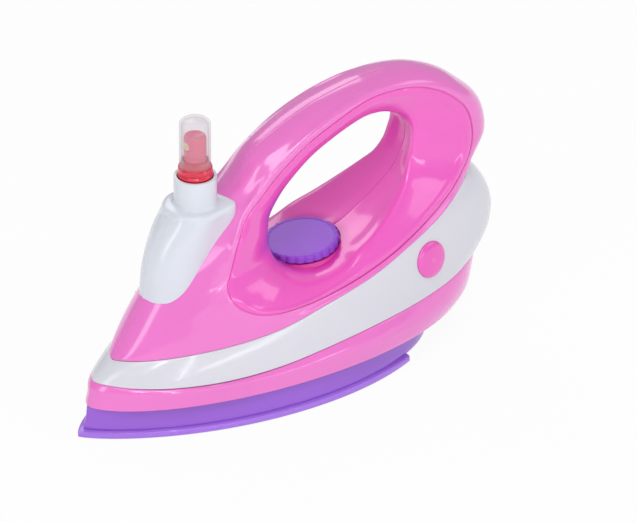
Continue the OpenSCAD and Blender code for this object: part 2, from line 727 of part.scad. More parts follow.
// Height of the outer shell over a place, worked out on its own facets
function over(p, q) = p.x * q.y - p.y * q.x;
function facet_height(a, b, c, x, y) = let (d = over([b.x - a.x, b.y - a.y], [c.x - a.x, c.y - a.y]),
        s = abs(d) < 1e-6 ? -1 : over([x - a.x, y - a.y], [c.x - a.x, c.y - a.y]) / d,
        t = abs(d) < 1e-6 ? -1 : over([b.x - a.x, b.y - a.y], [x - a.x, y - a.y]) / d)
    s < -0.001 || t < -0.001 || s + t > 1.001 ? undef : a.z + s * (b.z - a.z) + t * (c.z - a.z);
hood_first_row = 24 * row_steps;
hood_last_row = 29 * row_steps;
function shell_height(x, y) = max([for (k = [hood_first_row : hood_last_row])
    for (j = [0 : cross_steps - 1])
        let (a = looped(casing, k)[j], b = looped(casing, k)[j + 1],
            c = looped(casing, k + 1)[j + 1], d = looped(casing, k + 1)[j],
            h1 = facet_height(a, b, c, x, y), h2 = facet_height(a, c, d, x, y))
            for (h = [h1, h2]) if (!is_undef(h)) h]);

// White hood: lower edge and top edge from the front to the back, as shares of length and width
hood_base_shares = [[0.16, 0], [0.1665, 0.13], [0.182, 0.24], [0.198, 0.299], [0.219, 0.336],
    [0.242, 0.344], [0.264, 0.338], [0.297, 0.323], [0.332, 0.315], [0.348, 0.29], [0.3555, 0.23],
    [0.352, 0.15], [0.347, 0.075], [0.343, 0]];
hood_top_shares = [[0.2205, 0], [0.2212, 0.074], [0.2245, 0.148], [0.2325, 0.223], [0.2465, 0.299],
    [0.259, 0.341], [0.275, 0.359], [0.3, 0.345], [0.328, 0.315], [0.347, 0.285], [0.3555, 0.228],
    [0.352, 0.15], [0.347, 0.075], [0.343, 0]];
// How far in and up the two bends of the hood wall lie, from its lower edge to its top edge
hood_bend_shares = [[0.12, 0.38], [0.5, 0.76]];
hood_wall = 1.8;
hood_edge_radius = 2.6;
hood_steps = 2;
hood_columns = [for (k = [0 : 13 * hood_steps]) [k / hood_steps, 1],
    for (k = [13 * hood_steps - 1 : -1 : 1]) [k / hood_steps, -1]];
function hood_place(shares, u) = let (s = open_curve(shares, u))
    [body_length * s.x, max(body_width / 2 * s.y, 0)];
hood_step = hood_wall / 9;
function from_axis(p, r) = let (axis = [pump_setback, 0]) axis + unit(p - axis) * r;
function axis_gap(p) = norm(p - [pump_setback, 0]);
function raised(p, z) = [p.x, p.y, z];
function seated(p, z, over) = raised(p, max(z, shell_height(p.x, p.y) + seat_gap + over));
function hood_section(c) = let (u = c.x,
        base = hood_place(hood_base_shares, u), top = hood_place(hood_top_shares, u),
        rb = axis_gap(base), rt = axis_gap(top), room = rt - neck_diameter / 2,
        round_off = min(hood_edge_radius, 0.45 * room),
        ring_r = neck_diameter / 2 + min(hood_edge_radius / 2, 0.3 * room),
        rim_r = neck_diameter / 2 - wall / 3,
        base_in = from_axis(base, max(rb - hood_wall, ring_r + 3 * hood_step)),
        top_in = from_axis(top, max(rt - hood_wall, ring_r + 2 * hood_step)),
        under_in = from_axis(top, max(rt - hood_wall - round_off, ring_r + hood_step)),
        low = shell_height(base.x, base.y) + seat_gap,
        low_in = shell_height(base_in.x, base_in.y) + seat_gap,
        crown = max(hood_height, low + 3 * hood_step),
        side_top = max(crown - hood_edge_radius, mix(low, crown, 0.5)),
        under = crown - hood_wall, side_in = min(crown - hood_edge_radius, under - hood_step))
    [for (p = [raised(base, low), each [for (s = hood_bend_shares)
            raised(mix(base, top, s.x), mix(low, side_top, s.y))], raised(top, side_top),
        raised(from_axis(top, rt - round_off * 0.3), mix(side_top, crown, 0.72)),
        raised(from_axis(top, rt - round_off), crown),
        raised(from_axis(top, ring_r), hood_height), raised(from_axis(top, rim_r), hood_height),
        raised(from_axis(top, rim_r), hood_height - hood_wall),
        seated(from_axis(top, ring_r), hood_height - hood_wall, hood_step * 0.8),
        seated(under_in, under, hood_step * 0.6), seated(top_in, side_in, hood_step * 0.4),
        seated(mix(base_in, top_in, 0.5), mix(low_in, side_in, 0.5), hood_step * 0.2),
        raised(base_in, low_in)])
        sided(p, c.y)];
collar_bore = collar_diameter + 2 * free_gap;
module spray_hood() {
    color("white")
        union() {
            ring_solid([for (c = hood_columns) hood_section(c)]);
            at_pump()
                tube(neck_diameter, collar_bore, hood_height - hood_wall,
                    hood_height + neck_height);
        }
}

// Water tank: a round bottle with a long neck through the nose
tank_neck = 12.4;
tank_neck_wall = 1.3;
tank_floor_z = sole_thickness + tray_floor;
tank_shoulder_z = 62;
tank_neck_z = 78;
neck_drop = 3.5;
neck_top = hood_height + neck_height - neck_drop;
module water_tank() {
    color("lightcyan")
        at_pump()
            rotate_extrude()
                polygon([[0, tank_floor_z], [tank_diameter / 2, tank_floor_z],
                    [tank_diameter / 2, tank_shoulder_z], [tank_neck / 2, tank_neck_z],
                    [tank_neck / 2, neck_top], [tank_neck / 2 - tank_neck_wall, neck_top],
                    [tank_neck / 2 - tank_neck_wall, tank_neck_z],
                    [tank_diameter / 2 - tank_wall, tank_shoulder_z - tank_wall / 2],
                    [tank_diameter / 2 - tank_wall, tank_floor_z + tank_wall],
                    [0, tank_floor_z + tank_wall]]);
}

// Pump stack on the neck of the tank
gasket_height = 1;
flange_height = 1.2;
collar_top = hood_height + neck_height + collar_rise;
flange_top = neck_top + gasket_height + flange_height;
collar_roof = 1.4;
collar_lip_height = 3.2;
head_bore = head_diameter + 2 * free_gap;
cap_bore = cap_diameter - 2 * cap_wall;
cylinder_diameter = tank_neck - 2 * tank_neck_wall - 2 * seat_gap;
cylinder_bore = 6;
cylinder_length = 22;
cylinder_floor = 1.4;
cylinder_chamfer = 1;
cylinder_bottom = neck_top - cylinder_length;
piston_lift = 14;
piston_top = cylinder_bottom + piston_lift;
stem_diameter = 3.2;
piston_height = 3;
ridge_drop = 1.3;
ridge_height = 1;
ridge_depth = 0.4;
module pump_collar() {
    roof_top = flange_top + collar_roof;
    d = collar_diameter;
    color("crimson")
        at_pump()
            rotate_extrude()
                polygon([[tank_neck / 2 + fit, hood_height], [d / 2 - ridge_depth, hood_height],
                    [d / 2 - ridge_depth, hood_height + neck_height],
                    [d / 2, hood_height + neck_height + ridge_depth],
                    [d / 2, hood_height + neck_height + ridge_height],
                    [d / 2 - ridge_depth, hood_height + neck_height + ridge_drop],
                    [d / 2 - ridge_depth, hood_height + neck_height + 2 * ridge_drop - ridge_depth],
                    [d / 2 - ridge_depth / 3, hood_height + neck_height + 2 * ridge_drop],
                    [d / 2 - ridge_depth / 3, collar_top - ridge_depth],
                    [d / 2 - ridge_depth, collar_top],
                    [cap_bore / 2 - 2 * fit, collar_top],
                    [cap_bore / 2 - 2 * fit, collar_top + collar_lip_height],
                    [head_bore / 2, collar_top + collar_lip_height],
                    [head_bore / 2, roof_top], [stem_guide / 2, roof_top],
                    [stem_guide / 2, flange_top], [tank_neck / 2 + fit, flange_top]]);
}
stem_guide = stem_diameter + 2 * fit;
module pump_gasket() {
    color("dimgray")
        at_pump()
            tube(tank_neck, cylinder_diameter + 2 * fit, neck_top, neck_top + gasket_height);
}
module pump_cylinder() {
    color("whitesmoke")
        at_pump()
            rotate_extrude()
                polygon([[dip_diameter / 2 - dip_wall, cylinder_bottom],
                    [cylinder_diameter / 2 - cylinder_chamfer, cylinder_bottom],
                    [cylinder_diameter / 2, cylinder_bottom + cylinder_chamfer],
                    [cylinder_diameter / 2, neck_top + gasket_height],
                    [tank_neck / 2, neck_top + gasket_height],
                    [tank_neck / 2, flange_top], [stem_guide / 2 + fit, flange_top],
                    [stem_guide / 2 + fit, flange_top - cylinder_chamfer],
                    [cylinder_bore / 2, flange_top - cylinder_chamfer],
                    [cylinder_bore / 2, cylinder_bottom + cylinder_floor],
                    [dip_diameter / 2 - dip_wall, cylinder_bottom + cylinder_floor]]);
}
dip_diameter = 3;
dip_wall = 0.6;
dip_clearance = 3;
module dip_tube() {
    color("snow")
        at_pump()
            tube(dip_diameter, dip_diameter - 2 * dip_wall, tank_floor_z + tank_wall + dip_clearance,
                cylinder_bottom);
}
// Coil of round wire as one swept tube
coil_sides = 6;
coil_turn_steps = 10;
module coil(radius, wire, low, high, turns) {
    steps = turns * coil_turn_steps;
    rise = high - low - wire;
    rings = [for (k = [0 : steps]) let (a = 360 * k / coil_turn_steps)
        [for (s = [0 : coil_sides - 1]) let (b = 360 * s / coil_sides,
            r = radius + wire / 2 * cos(b))
            [r * cos(a), r * sin(a), low + wire / 2 + rise * k / steps + wire / 2 * sin(b)]]];
    points = [for (r = rings) for (p = r) p];
    sides = [for (k = [0 : steps - 1]) for (s = [0 : coil_sides - 1])
        let (a = k * coil_sides + s, b = k * coil_sides + (s + 1) % coil_sides,
            c = a + coil_sides, d = b + coil_sides)
            for (f = [[a, b, d], [a, d, c]]) f];
    start = [for (s = [1 : coil_sides - 2]) [0, s + 1, s]];
    last = steps * coil_sides;
    end = [for (s = [1 : coil_sides - 2]) [last, last + s, last + s + 1]];
    polyhedron(points, concat(sides, start, end));
}
spring_wire = 0.5;
pump_turns = 7;
button_turns = 4;
cell_turns = 2;
cell_spring_radius = 3;
button_spring_radius = 5.4;
module pump_spring() {
    color("silver")
        at_pump()
            coil(cylinder_bore / 2 - spring_wire, spring_wire, cylinder_bottom + cylinder_floor,
                piston_top - piston_height, pump_turns);
}
module spray_actuator() {
    head_low = flange_top + collar_roof + spray_travel + free_gap;
    head_top = collar_top + head_rise;
    r = head_diameter / 2;
    color("salmon")
        at_pump()
            difference() {
                union() {
                    rotate_extrude()
                        polygon([[0, head_low], [r, head_low], [r, head_top - head_round],
                            [r - head_round * 0.4, head_top - head_round / 3],
                            [r - head_round, head_top], [r * 0.4, head_top - head_dish * 0.75],
                            [0, head_top - head_dish]]);
                    rod(stem_diameter, piston_top - piston_height / 2, head_low + head_round);
                    rod(cylinder_bore - 2 * fit, piston_top - piston_height, piston_top);
                }
                translate([0, 0, nozzle_z])
                    rotate([0, 90, 0])
                        rod(nozzle_diameter, head_diameter / 2 - nozzle_depth, head_diameter);
            }
}
head_round = 1.2;
head_dish = 0.8;
nozzle_diameter = 4;
nozzle_inset = 0.2;
nozzle_depth = 1.6;
nozzle_drop = 4.4;
nozzle_z = collar_top + head_rise - nozzle_drop;
orifice = 0.6;
module nozzle_insert() {
    color("wheat")
        at_pump()
            translate([0, 0, nozzle_z])
                rotate([0, 90, 0])
                    tube(nozzle_diameter, orifice, head_diameter / 2 - nozzle_depth,
                        head_diameter / 2 - nozzle_inset);
}
cap_round = 2;
module clear_cap() {
    r = cap_diameter / 2;
    top = collar_top + cap_height;
    color("lightblue", 0.4)
        at_pump()
            rotate_extrude()
                polygon([[cap_bore / 2, collar_top + fit], [r, collar_top + fit],
                    [r, top - cap_round], [r - cap_round / 5, top - cap_round * 0.6],
                    [r - cap_round * 0.6, top - cap_round / 4],
                    [r - cap_round * 1.2, top - cap_round / 12], [r - cap_round * 2, top], [0, top],
                    [0, top - cap_wall], [r - cap_round * 2, top - cap_wall],
                    [r - cap_round * 1.2, top - cap_wall - cap_round / 6],
                    [cap_bore / 2, top - 2 * cap_wall - cap_round * 0.5]]);
}

// Dial and what holds it: heights are over the middle of the dial top
dial_low = -dial_thickness;
seat_top = dial_low - free_gap;
seat_roof = 2.2;
seat_wall = 1.8;
boss_diameter = 10;
boss_depth = 9;
wheel_thickness = 1.6;
wheel_diameter = 12;
wheel_teeth = 12;
tooth_depth = 0.9;
module dial_seat() {
    color("deeppink")
        at_dial()
            difference() {
                rod(seat_diameter, seat_top - seat_depth + seat_roof, seat_top);
                difference() {
                    rod(seat_diameter - 2 * seat_wall, seat_top - seat_depth, seat_top - seat_roof);
                    rod(boss_diameter, seat_top - boss_depth, seat_top);
                }
                rod(spindle_diameter + 2 * fit, seat_top - seat_depth, overrun);
            }
}
scallop_points = 8;
scallop_depth = 0.5;
dial_edge = 0.7;
module dial_profile(inset) {
    polygon([for (k = [0 : dial_scallops * scallop_points - 1])
        let (a = 360 * k / (dial_scallops * scallop_points),
            r = dial_diameter / 2 - inset - scallop_depth * (1 - abs(sin(a * dial_scallops / 2))))
            [r * cos(a), r * sin(a)]]);
}
module scalloped_dial() {
    color("mediumorchid")
        at_dial()
            union() {
                translate([0, 0, dial_low])
                    linear_extrude(dial_thickness - dial_edge)
                        dial_profile(0);
                translate([0, 0, -dial_edge])
                    linear_extrude(dial_edge)
                        dial_profile(dial_edge);
                rod(spindle_diameter, seat_top - boss_depth - wheel_thickness - 2 * free_gap,
                    dial_low + dial_edge);
            }
}
module click_wheel() {
    high = seat_top - boss_depth - free_gap;
    color("gainsboro")
        at_dial()
            translate([0, 0, high - wheel_thickness])
                linear_extrude(wheel_thickness)
                    difference() {
                        polygon([for (k = [0 : 2 * wheel_teeth - 1])
                            let (r = wheel_diameter / 2 - (k % 2) * tooth_depth, a = 180 * k / wheel_teeth)
                            [r * cos(a), r * sin(a)]]);
                        circle(d = spindle_diameter);
                    }
}
// Thin leaf beside the wheel, fixed on the inside of the seat
leaf = 0.5;
module click_spring() {
    high = seat_top - boss_depth - free_gap;
    reach = (seat_diameter / 2 - seat_wall) * cos(30);
    side = (seat_diameter / 2 - seat_wall) * sin(30);
    color("silver")
        at_dial()
            union() {
                block([-reach + leaf, wheel_diameter / 2 + free_gap, high - wheel_thickness],
                    [wheel_diameter / 4, wheel_diameter / 2 + free_gap + leaf, high]);
                block([-reach + leaf, wheel_diameter / 2 + free_gap, high - wheel_thickness],
                    [-reach + 2 * leaf + wall, side - leaf, seat_top - seat_roof]);
            }
}

// Button stack: heights are over the face of the band, along the button
button_skirt = 3.4;
button_flange_height = 1.4;
button_stem_reach = 8;
button_stem = 2.5;
button_flange = 1.4;
switch_size = 6.2;
switch_height = 3.5;
plunger_diameter = 3.4;
plunger_height = 0.8;
plunger_gap = 0.2;
switch_low = button_stem_reach + button_travel + plunger_gap + switch_height + plunger_height;
module side_button() {
    r = button_diameter / 2;
    color("deeppink")
        at_button()
            rotate_extrude()
                polygon([[0, -button_stem_reach], [button_stem, -button_stem_reach],
                    [button_stem, -button_skirt - button_flange_height],
                    [r + button_flange, -button_skirt - button_flange_height],
                    [r + button_flange, -button_skirt],
                    [r, -button_skirt], [r, 0], [r * 0.94, button_rise * 0.35],
                    [r * 0.8, button_rise * 0.6], [r * 0.6, button_rise * 0.8],
                    [r * 0.35, button_rise * 0.95], [0, button_rise]]);
}
module button_spring() {
    color("silver")
        at_button()
            coil(button_spring_radius, spring_wire, -switch_low,
                -button_skirt - button_flange_height, button_turns);
}
module push_switch() {
    color("dimgray")
        at_button()
            union() {
                block([-switch_size / 2, -switch_size / 2, -switch_low],
                    [switch_size / 2, switch_size / 2, switch_height - switch_low]);
                rod(plunger_diameter, switch_height - switch_low - plunger_height / 2,
                    switch_height - switch_low + plunger_height);
            }
}
mount_size = 15;
mount_thickness = 2.2;
mount_leg = 7;
module switch_mount() {
    n = [-button_facing.x, button_facing.y, button_facing.z];
    p = set_in_frame(button_place) - n * (switch_low + mount_thickness / 2);
    color("pink")
        union() {
            at_button()
                block([-mount_size / 2, -mount_size / 2, -switch_low - mount_thickness],
                    [mount_size / 2, mount_size / 2, -switch_low]);
            translate([p.x - n.x * mount_leg / 2, p.y - n.y * mount_leg / 2, plate_top])
                cylinder(d = mount_leg, h = p.z - plate_top);
        }
}

module battery_box() {
    low = sole_thickness + tray_floor;
    color("thistle")
        difference() {
            union() {
                translate([0, 0, low])
                    linear_extrude(box_top - low)
                        bay_outline(box_wall);
                translate([0, 0, low])
                    linear_extrude(box_wall)
                        bay_outline(box_foot);
            }
            translate([0, 0, low - overrun])
                linear_extrude(bay_top - low + overrun)
                    bay_outline(0);
        }
}
module battery_cells() {
    for (side = [-1, 1])
        color("seagreen")
            translate([frame_x(bay_nose + contact_room / 2 * (1 + side * cell_shift_share)
                + (side > 0 ? 0 : cell_length)),
                side * (cell_diameter + cell_gap) / 2, cell_axis_z])
                rotate([0, side > 0 ? -90 : 90, 0])
                    union() {
                        cylinder(d = cell_diameter, h = cell_length - cell_tip);
                        cylinder(d = cell_diameter * cell_tip_share, h = cell_length);
                    }
}
contact_size = 9;
module battery_contacts() {
    for (side = [-1, 1])
        for (end = [0, 1])
            color("gold")
                block([frame_x(bay_nose + bay_length * end) - contact_sheet * (1 - end),
                    side * (cell_diameter + cell_gap) / 2 - contact_size / 2,
                    cell_axis_z - contact_size / 2],
                    [frame_x(bay_nose + bay_length * end) + contact_sheet * end,
                    side * (cell_diameter + cell_gap) / 2 + contact_size / 2,
                    cell_axis_z + contact_size / 2]);
}
// One coil at the flat end of each cell
module battery_springs() {
    gap = contact_room / 2 * (1 + cell_shift_share) - contact_sheet;
    for (side = [-1, 1])
        color("silver")
            translate([frame_x(bay_nose + (side > 0 ? 0 : bay_length)),
                side * (cell_diameter + cell_gap) / 2, cell_axis_z])
                rotate([0, side > 0 ? -90 : 90, 0])
                    coil(cell_spring_radius, spring_wire, contact_sheet, contact_sheet + gap, cell_turns);
}
door_screw_reach = 8;
module battery_door() {
    color("mediumpurple")
        difference() {
            translate([0, 0, door_recess])
                linear_extrude(door_thickness)
                    door_outline(free_gap);
            translate([frame_x(door_screw_back), 0, 0])
                union() {
                    rod(screw_head + 2 * seat_gap, -overrun, door_recess + screw_floor);
                    rod(screw_shaft + 2 * seat_gap, -overrun, sole_thickness);
                }
        }
}
module door_screw() {
    head_low = door_recess + screw_floor - door_head;
    color("silver")
        translate([frame_x(door_screw_back), 0, 0])
            union() {
                difference() {
                    rod(screw_head, head_low, door_recess + screw_floor);
                    translate([0, 0, head_low])
                        mirror([0, 0, 1])
                            driver_cross();
                }
                rod(screw_shaft, door_recess + screw_floor - door_head / 4, door_screw_reach);
            }
}
door_head = 1;

module circuit_board() {
    color("seagreen")
        block([frame_x(board_setback) - board_length / 2, -board_width / 2, board_z],
            [frame_x(board_setback) + board_length / 2, board_width / 2, board_z + board_thickness]);
}
chip_size = 9;
chip_height = 1.6;
capacitor_diameter = 6;
capacitor_height = 9;
socket_size = 7;
module board_components() {
    x = frame_x(board_setback);
    z = board_z + board_thickness;
    color("black")
        block([x - chip_size / 2, -chip_size / 2, z], [x + chip_size / 2, chip_size / 2, z + chip_height]);
    color("darkslateblue")
        translate([x + board_length / 4, board_width / 4, z])
            cylinder(d = capacitor_diameter, h = capacitor_height);
    color("ivory")
        block([x - board_length / 2 + chip_height, -socket_size / 2, z],
            [x - board_length / 2 + chip_height + socket_size / 2, socket_size / 2, z + socket_size / 2]);
}
module speaker() {
    low = sole_thickness + tray_floor;
    color("black")
        translate([frame_x(speaker_setback), 0, 0])
            union() {
                tube(speaker_diameter, speaker_diameter - 2 * wall, low, low + speaker_height / 2);
                rod(speaker_diameter, low + speaker_height / 3, low + speaker_height / 2);
                rod(speaker_diameter * 0.6, low + speaker_height / 2 - fit, low + speaker_height);
            }
}
module speaker_clamp() {
    low = sole_thickness + tray_floor + speaker_height;
    color("plum")
        translate([frame_x(speaker_setback), 0, 0])
            tube(speaker_diameter, speaker_diameter * 0.4, low, skirt_base_z);
}
module sole_screws() {
    head_low = screw_recess;
    at_sole_screws()
        color("silver")
            union() {
                difference() {
                    rod(screw_head, head_low, head_low + screw_head_height);
                    translate([0, 0, head_low])
                        mirror([0, 0, 1])
                            driver_cross();
                }
                rod(screw_shaft, head_low + screw_head_height * 3 / 4,
                    plate_top + plate_post_height - 2 * wall);
            }
}

soleplate();
base_tray();
chassis_plate();
lower_skirt();
white_band();
upper_shell_left();
upper_shell_right();
grip_liner_left();
grip_liner_right();
spray_hood();
water_tank();
pump_collar();
pump_cylinder();
pump_gasket();
dip_tube();
pump_spring();
spray_actuator();
nozzle_insert();
clear_cap();
dial_seat();
scalloped_dial();
click_wheel();
click_spring();
side_button();
button_spring();
push_switch();
switch_mount();
battery_box();
battery_cells();
battery_contacts();
battery_springs();
battery_door();
door_screw();
circuit_board();
board_components();
speaker();
speaker_clamp();
sole_screws();
housing_screws();
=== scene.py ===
"""Looks of a toy steam iron: glossy moulded shells, a capped sprayer, a turning dial and a button.

Lengths inside the shape classes are millimetres. A place is kept as the distance back from the
nose, sideways and up, and becomes Blender metres in world().
"""

import logging
import math
from dataclasses import dataclass, field
from enum import Enum
from typing import Callable, Iterable, Optional, Sequence, Union

import bmesh
import bpy
import numpy as np
from mathutils import Matrix, Vector
from mathutils.bvhtree import BVHTree


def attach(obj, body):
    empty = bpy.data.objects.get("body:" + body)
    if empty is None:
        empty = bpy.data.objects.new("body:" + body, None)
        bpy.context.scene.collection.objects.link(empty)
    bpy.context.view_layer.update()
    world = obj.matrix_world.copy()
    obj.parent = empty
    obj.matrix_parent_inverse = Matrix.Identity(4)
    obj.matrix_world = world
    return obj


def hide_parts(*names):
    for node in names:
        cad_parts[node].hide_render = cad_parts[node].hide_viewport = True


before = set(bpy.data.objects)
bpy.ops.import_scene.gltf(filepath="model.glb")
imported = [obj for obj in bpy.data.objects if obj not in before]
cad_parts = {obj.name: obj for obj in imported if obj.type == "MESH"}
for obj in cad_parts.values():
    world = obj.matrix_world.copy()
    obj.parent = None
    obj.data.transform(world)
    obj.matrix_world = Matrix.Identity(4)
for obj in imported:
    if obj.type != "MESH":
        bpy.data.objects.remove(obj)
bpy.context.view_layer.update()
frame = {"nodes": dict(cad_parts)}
LOG = logging.getLogger("toy_iron")
MM = 0.001
Grid = np.ndarray
CORE = 0.01  # radius in millimetres at which a turned outline closes on its axis
QUARTER_ARM = 0.5523  # arm of a cubic curve that follows a quarter circle


# ---------------------------------------------------------------- curves and mesh grids


def cubic(a: Grid, b: Grid, c: Grid, d: Grid, f: Grid) -> Grid:
    """A cubic piece that runs from b to c.

    Args:
        a, b, c, d: four values in a row.
        f: how far the place lies from b to c.

    Returns:
        The value at f.
    """
    return (b + (c - a) * f / 2 + (2 * a - 5 * b + 4 * c - d) * f * f / 2
            + (3 * b - a - 3 * c + d) * f ** 3 / 2)


class Table:
    """Listed values, joined by a smooth or a straight line."""

    def __init__(self, rows: Sequence, closed: bool = False) -> None:
        """Keeps the rows as an array with one column or more.

        Args:
            rows: the listed values, one row or number each.
            closed: whether the last row leads back to the first.
        """
        self.rows = np.array(rows, float)
        if self.rows.ndim == 1:
            self.rows = self.rows[:, None]
        self.closed = closed

    def _pick(self, u: Grid) -> tuple:
        """Returns the whole step below u and a function for the row k steps on.

        Args:
            u: places, counted in rows.

        Returns:
            The whole steps, and a function that gives the rows k steps on.
        """
        count = len(self.rows)
        if self.closed:
            low = np.floor(u).astype(int)
            return low, lambda k: self.rows[(low + k) % count]
        low = np.minimum(np.floor(u).astype(int), count - 2)
        return low, lambda k: self.rows[np.clip(low + k, 0, count - 1)]

    def smooth(self, u: Grid) -> Grid:
        """Value on the smooth curve, where u counts the listed rows.

        Args:
            u: places, counted in rows.

        Returns:
            The values, one row for each place.
        """
        u = np.asarray(u, float) if self.closed else np.clip(u, 0, len(self.rows) - 1)
        low, row = self._pick(u)
        return cubic(row(-1), row(0), row(1), row(2), (u - low)[..., None])

    def straight(self, u: Grid) -> Grid:
        """Value on the straight pieces between the rows.

        Args:
            u: places, counted in rows.

        Returns:
            The values, one row for each place.
        """
        low, row = self._pick(np.asarray(u, float))
        f = (u - low)[..., None]
        return row(0) * (1 - f) + row(1) * f


def unit(v: Grid) -> Grid:
    """The same directions with a length of one."""
    return v / np.maximum(np.linalg.norm(v, axis=-1, keepdims=True), 1e-9)


def facing(grid: Grid) -> Grid:
    """Outward directions of a grid whose rows run round in a ring.

    Args:
        grid: places as rows, steps and coordinates.

    Returns:
        One direction for each place.
    """
    along = np.roll(grid, -1, 0) - np.roll(grid, 1, 0)
    across = np.gradient(grid, axis=1)
    return unit(np.cross(along, across))


def spread(column: Grid, steps: int, reach: float = 1.0) -> tuple:
    """Two grids: the column's values, and the places across from nought up to the reach."""
    across = np.linspace(0, reach, steps + 1)[None, :]
    return column[:, None] + np.zeros(steps + 1), across + np.zeros((len(column), 1))


def linked(name: str, data: Optional[bpy.types.ID]) -> bpy.types.Object:
    """A new object in the scene that shows these data.

    Args:
        name: object name.
        data: its mesh, lamp or camera.

    Returns:
        The object.
    """
    made = bpy.data.objects.new(name, data)
    bpy.context.scene.collection.objects.link(made)
    return made


def stand(x: float, y: float = 0.0, z: float = 0.0) -> Matrix:
    """An upright place, given in world millimetres."""
    return Matrix.Translation(Vector((x, y, z)) * MM)


@dataclass(frozen=True)
class Wall:
    """How a curved sheet gets its thickness and its rounded edges."""

    thickness: float
    start_round: float
    end_round: float
    steps: int
    start_gap: float = 0.02
    end_gap: float = 0.02
    tongue: float = 0.0
    tongue_seat: float = 0.9
    tongue_thickness: float = 0.5
    most_round: float = 0.3
    arc: int = 3

    def sections(self, grid: Grid, raise_by: Optional[Callable] = None) -> Grid:
        """Closed sections of the sheet: the outer face, both rounded edges and the inner face.

        Args:
            grid: outer face as rows round a ring, steps across and coordinates.
            raise_by: optional function of the distances from both edges and of the row's share of
                the ring, which gives how far the outer face stands out.

        Returns:
            Sections as rows, places and coordinates.
        """
        out = facing(grid)
        made = []
        turns = np.radians(np.linspace(90, 0, self.arc + 1)[:-1])
        for k, (row, face) in enumerate(zip(grid, out)):
            run = np.concatenate([[0], np.cumsum(np.linalg.norm(np.diff(row, axis=0), axis=1))])
            length = run[-1]
            rounds = max(self.start_round + self.end_round, 1e-6)
            share = min(1.0, self.most_round * length / rounds)
            r0, r1 = self.start_round * share, self.end_round * share
            s = np.linspace(self.start_gap + r0, length - self.end_gap - r1, self.steps + 1)
            pick = lambda a: np.stack([np.interp(s, run, a[:, c]) for c in range(3)], -1)
            p, n = pick(row), unit(pick(face))
            if raise_by is not None:
                p = p + n * raise_by(s, length - s, k / len(grid))[:, None]
            t0, t1 = unit(p[0] - p[1]), unit(p[-1] - p[-2])
            n0, n1 = n[0], n[-1]
            first = [p[0] - n0 * r0 * (1 - math.cos(a)) + t0 * r0 * math.sin(a) for a in turns]
            last = [p[-1] - n1 * r1 * (1 - math.cos(a)) + t1 * r1 * math.sin(a)
                    for a in turns[::-1]]
            inner = p[::-2] - n[::-2] * self.thickness
            low = self.thickness - r1
            if self.tongue:
                seat = last[-1] - n1 * (low - self.tongue_seat)
                tip = seat + t1 * self.tongue
                under = [seat, tip, tip - n1 * self.tongue_thickness]
            else:
                under = [last[-1] - n1 * low]
            made.append(np.array(first + list(p) + last + under + list(inner[1:-1])
                                 + [first[0] - n0 * (self.thickness - r0)]))
        return np.array(made)


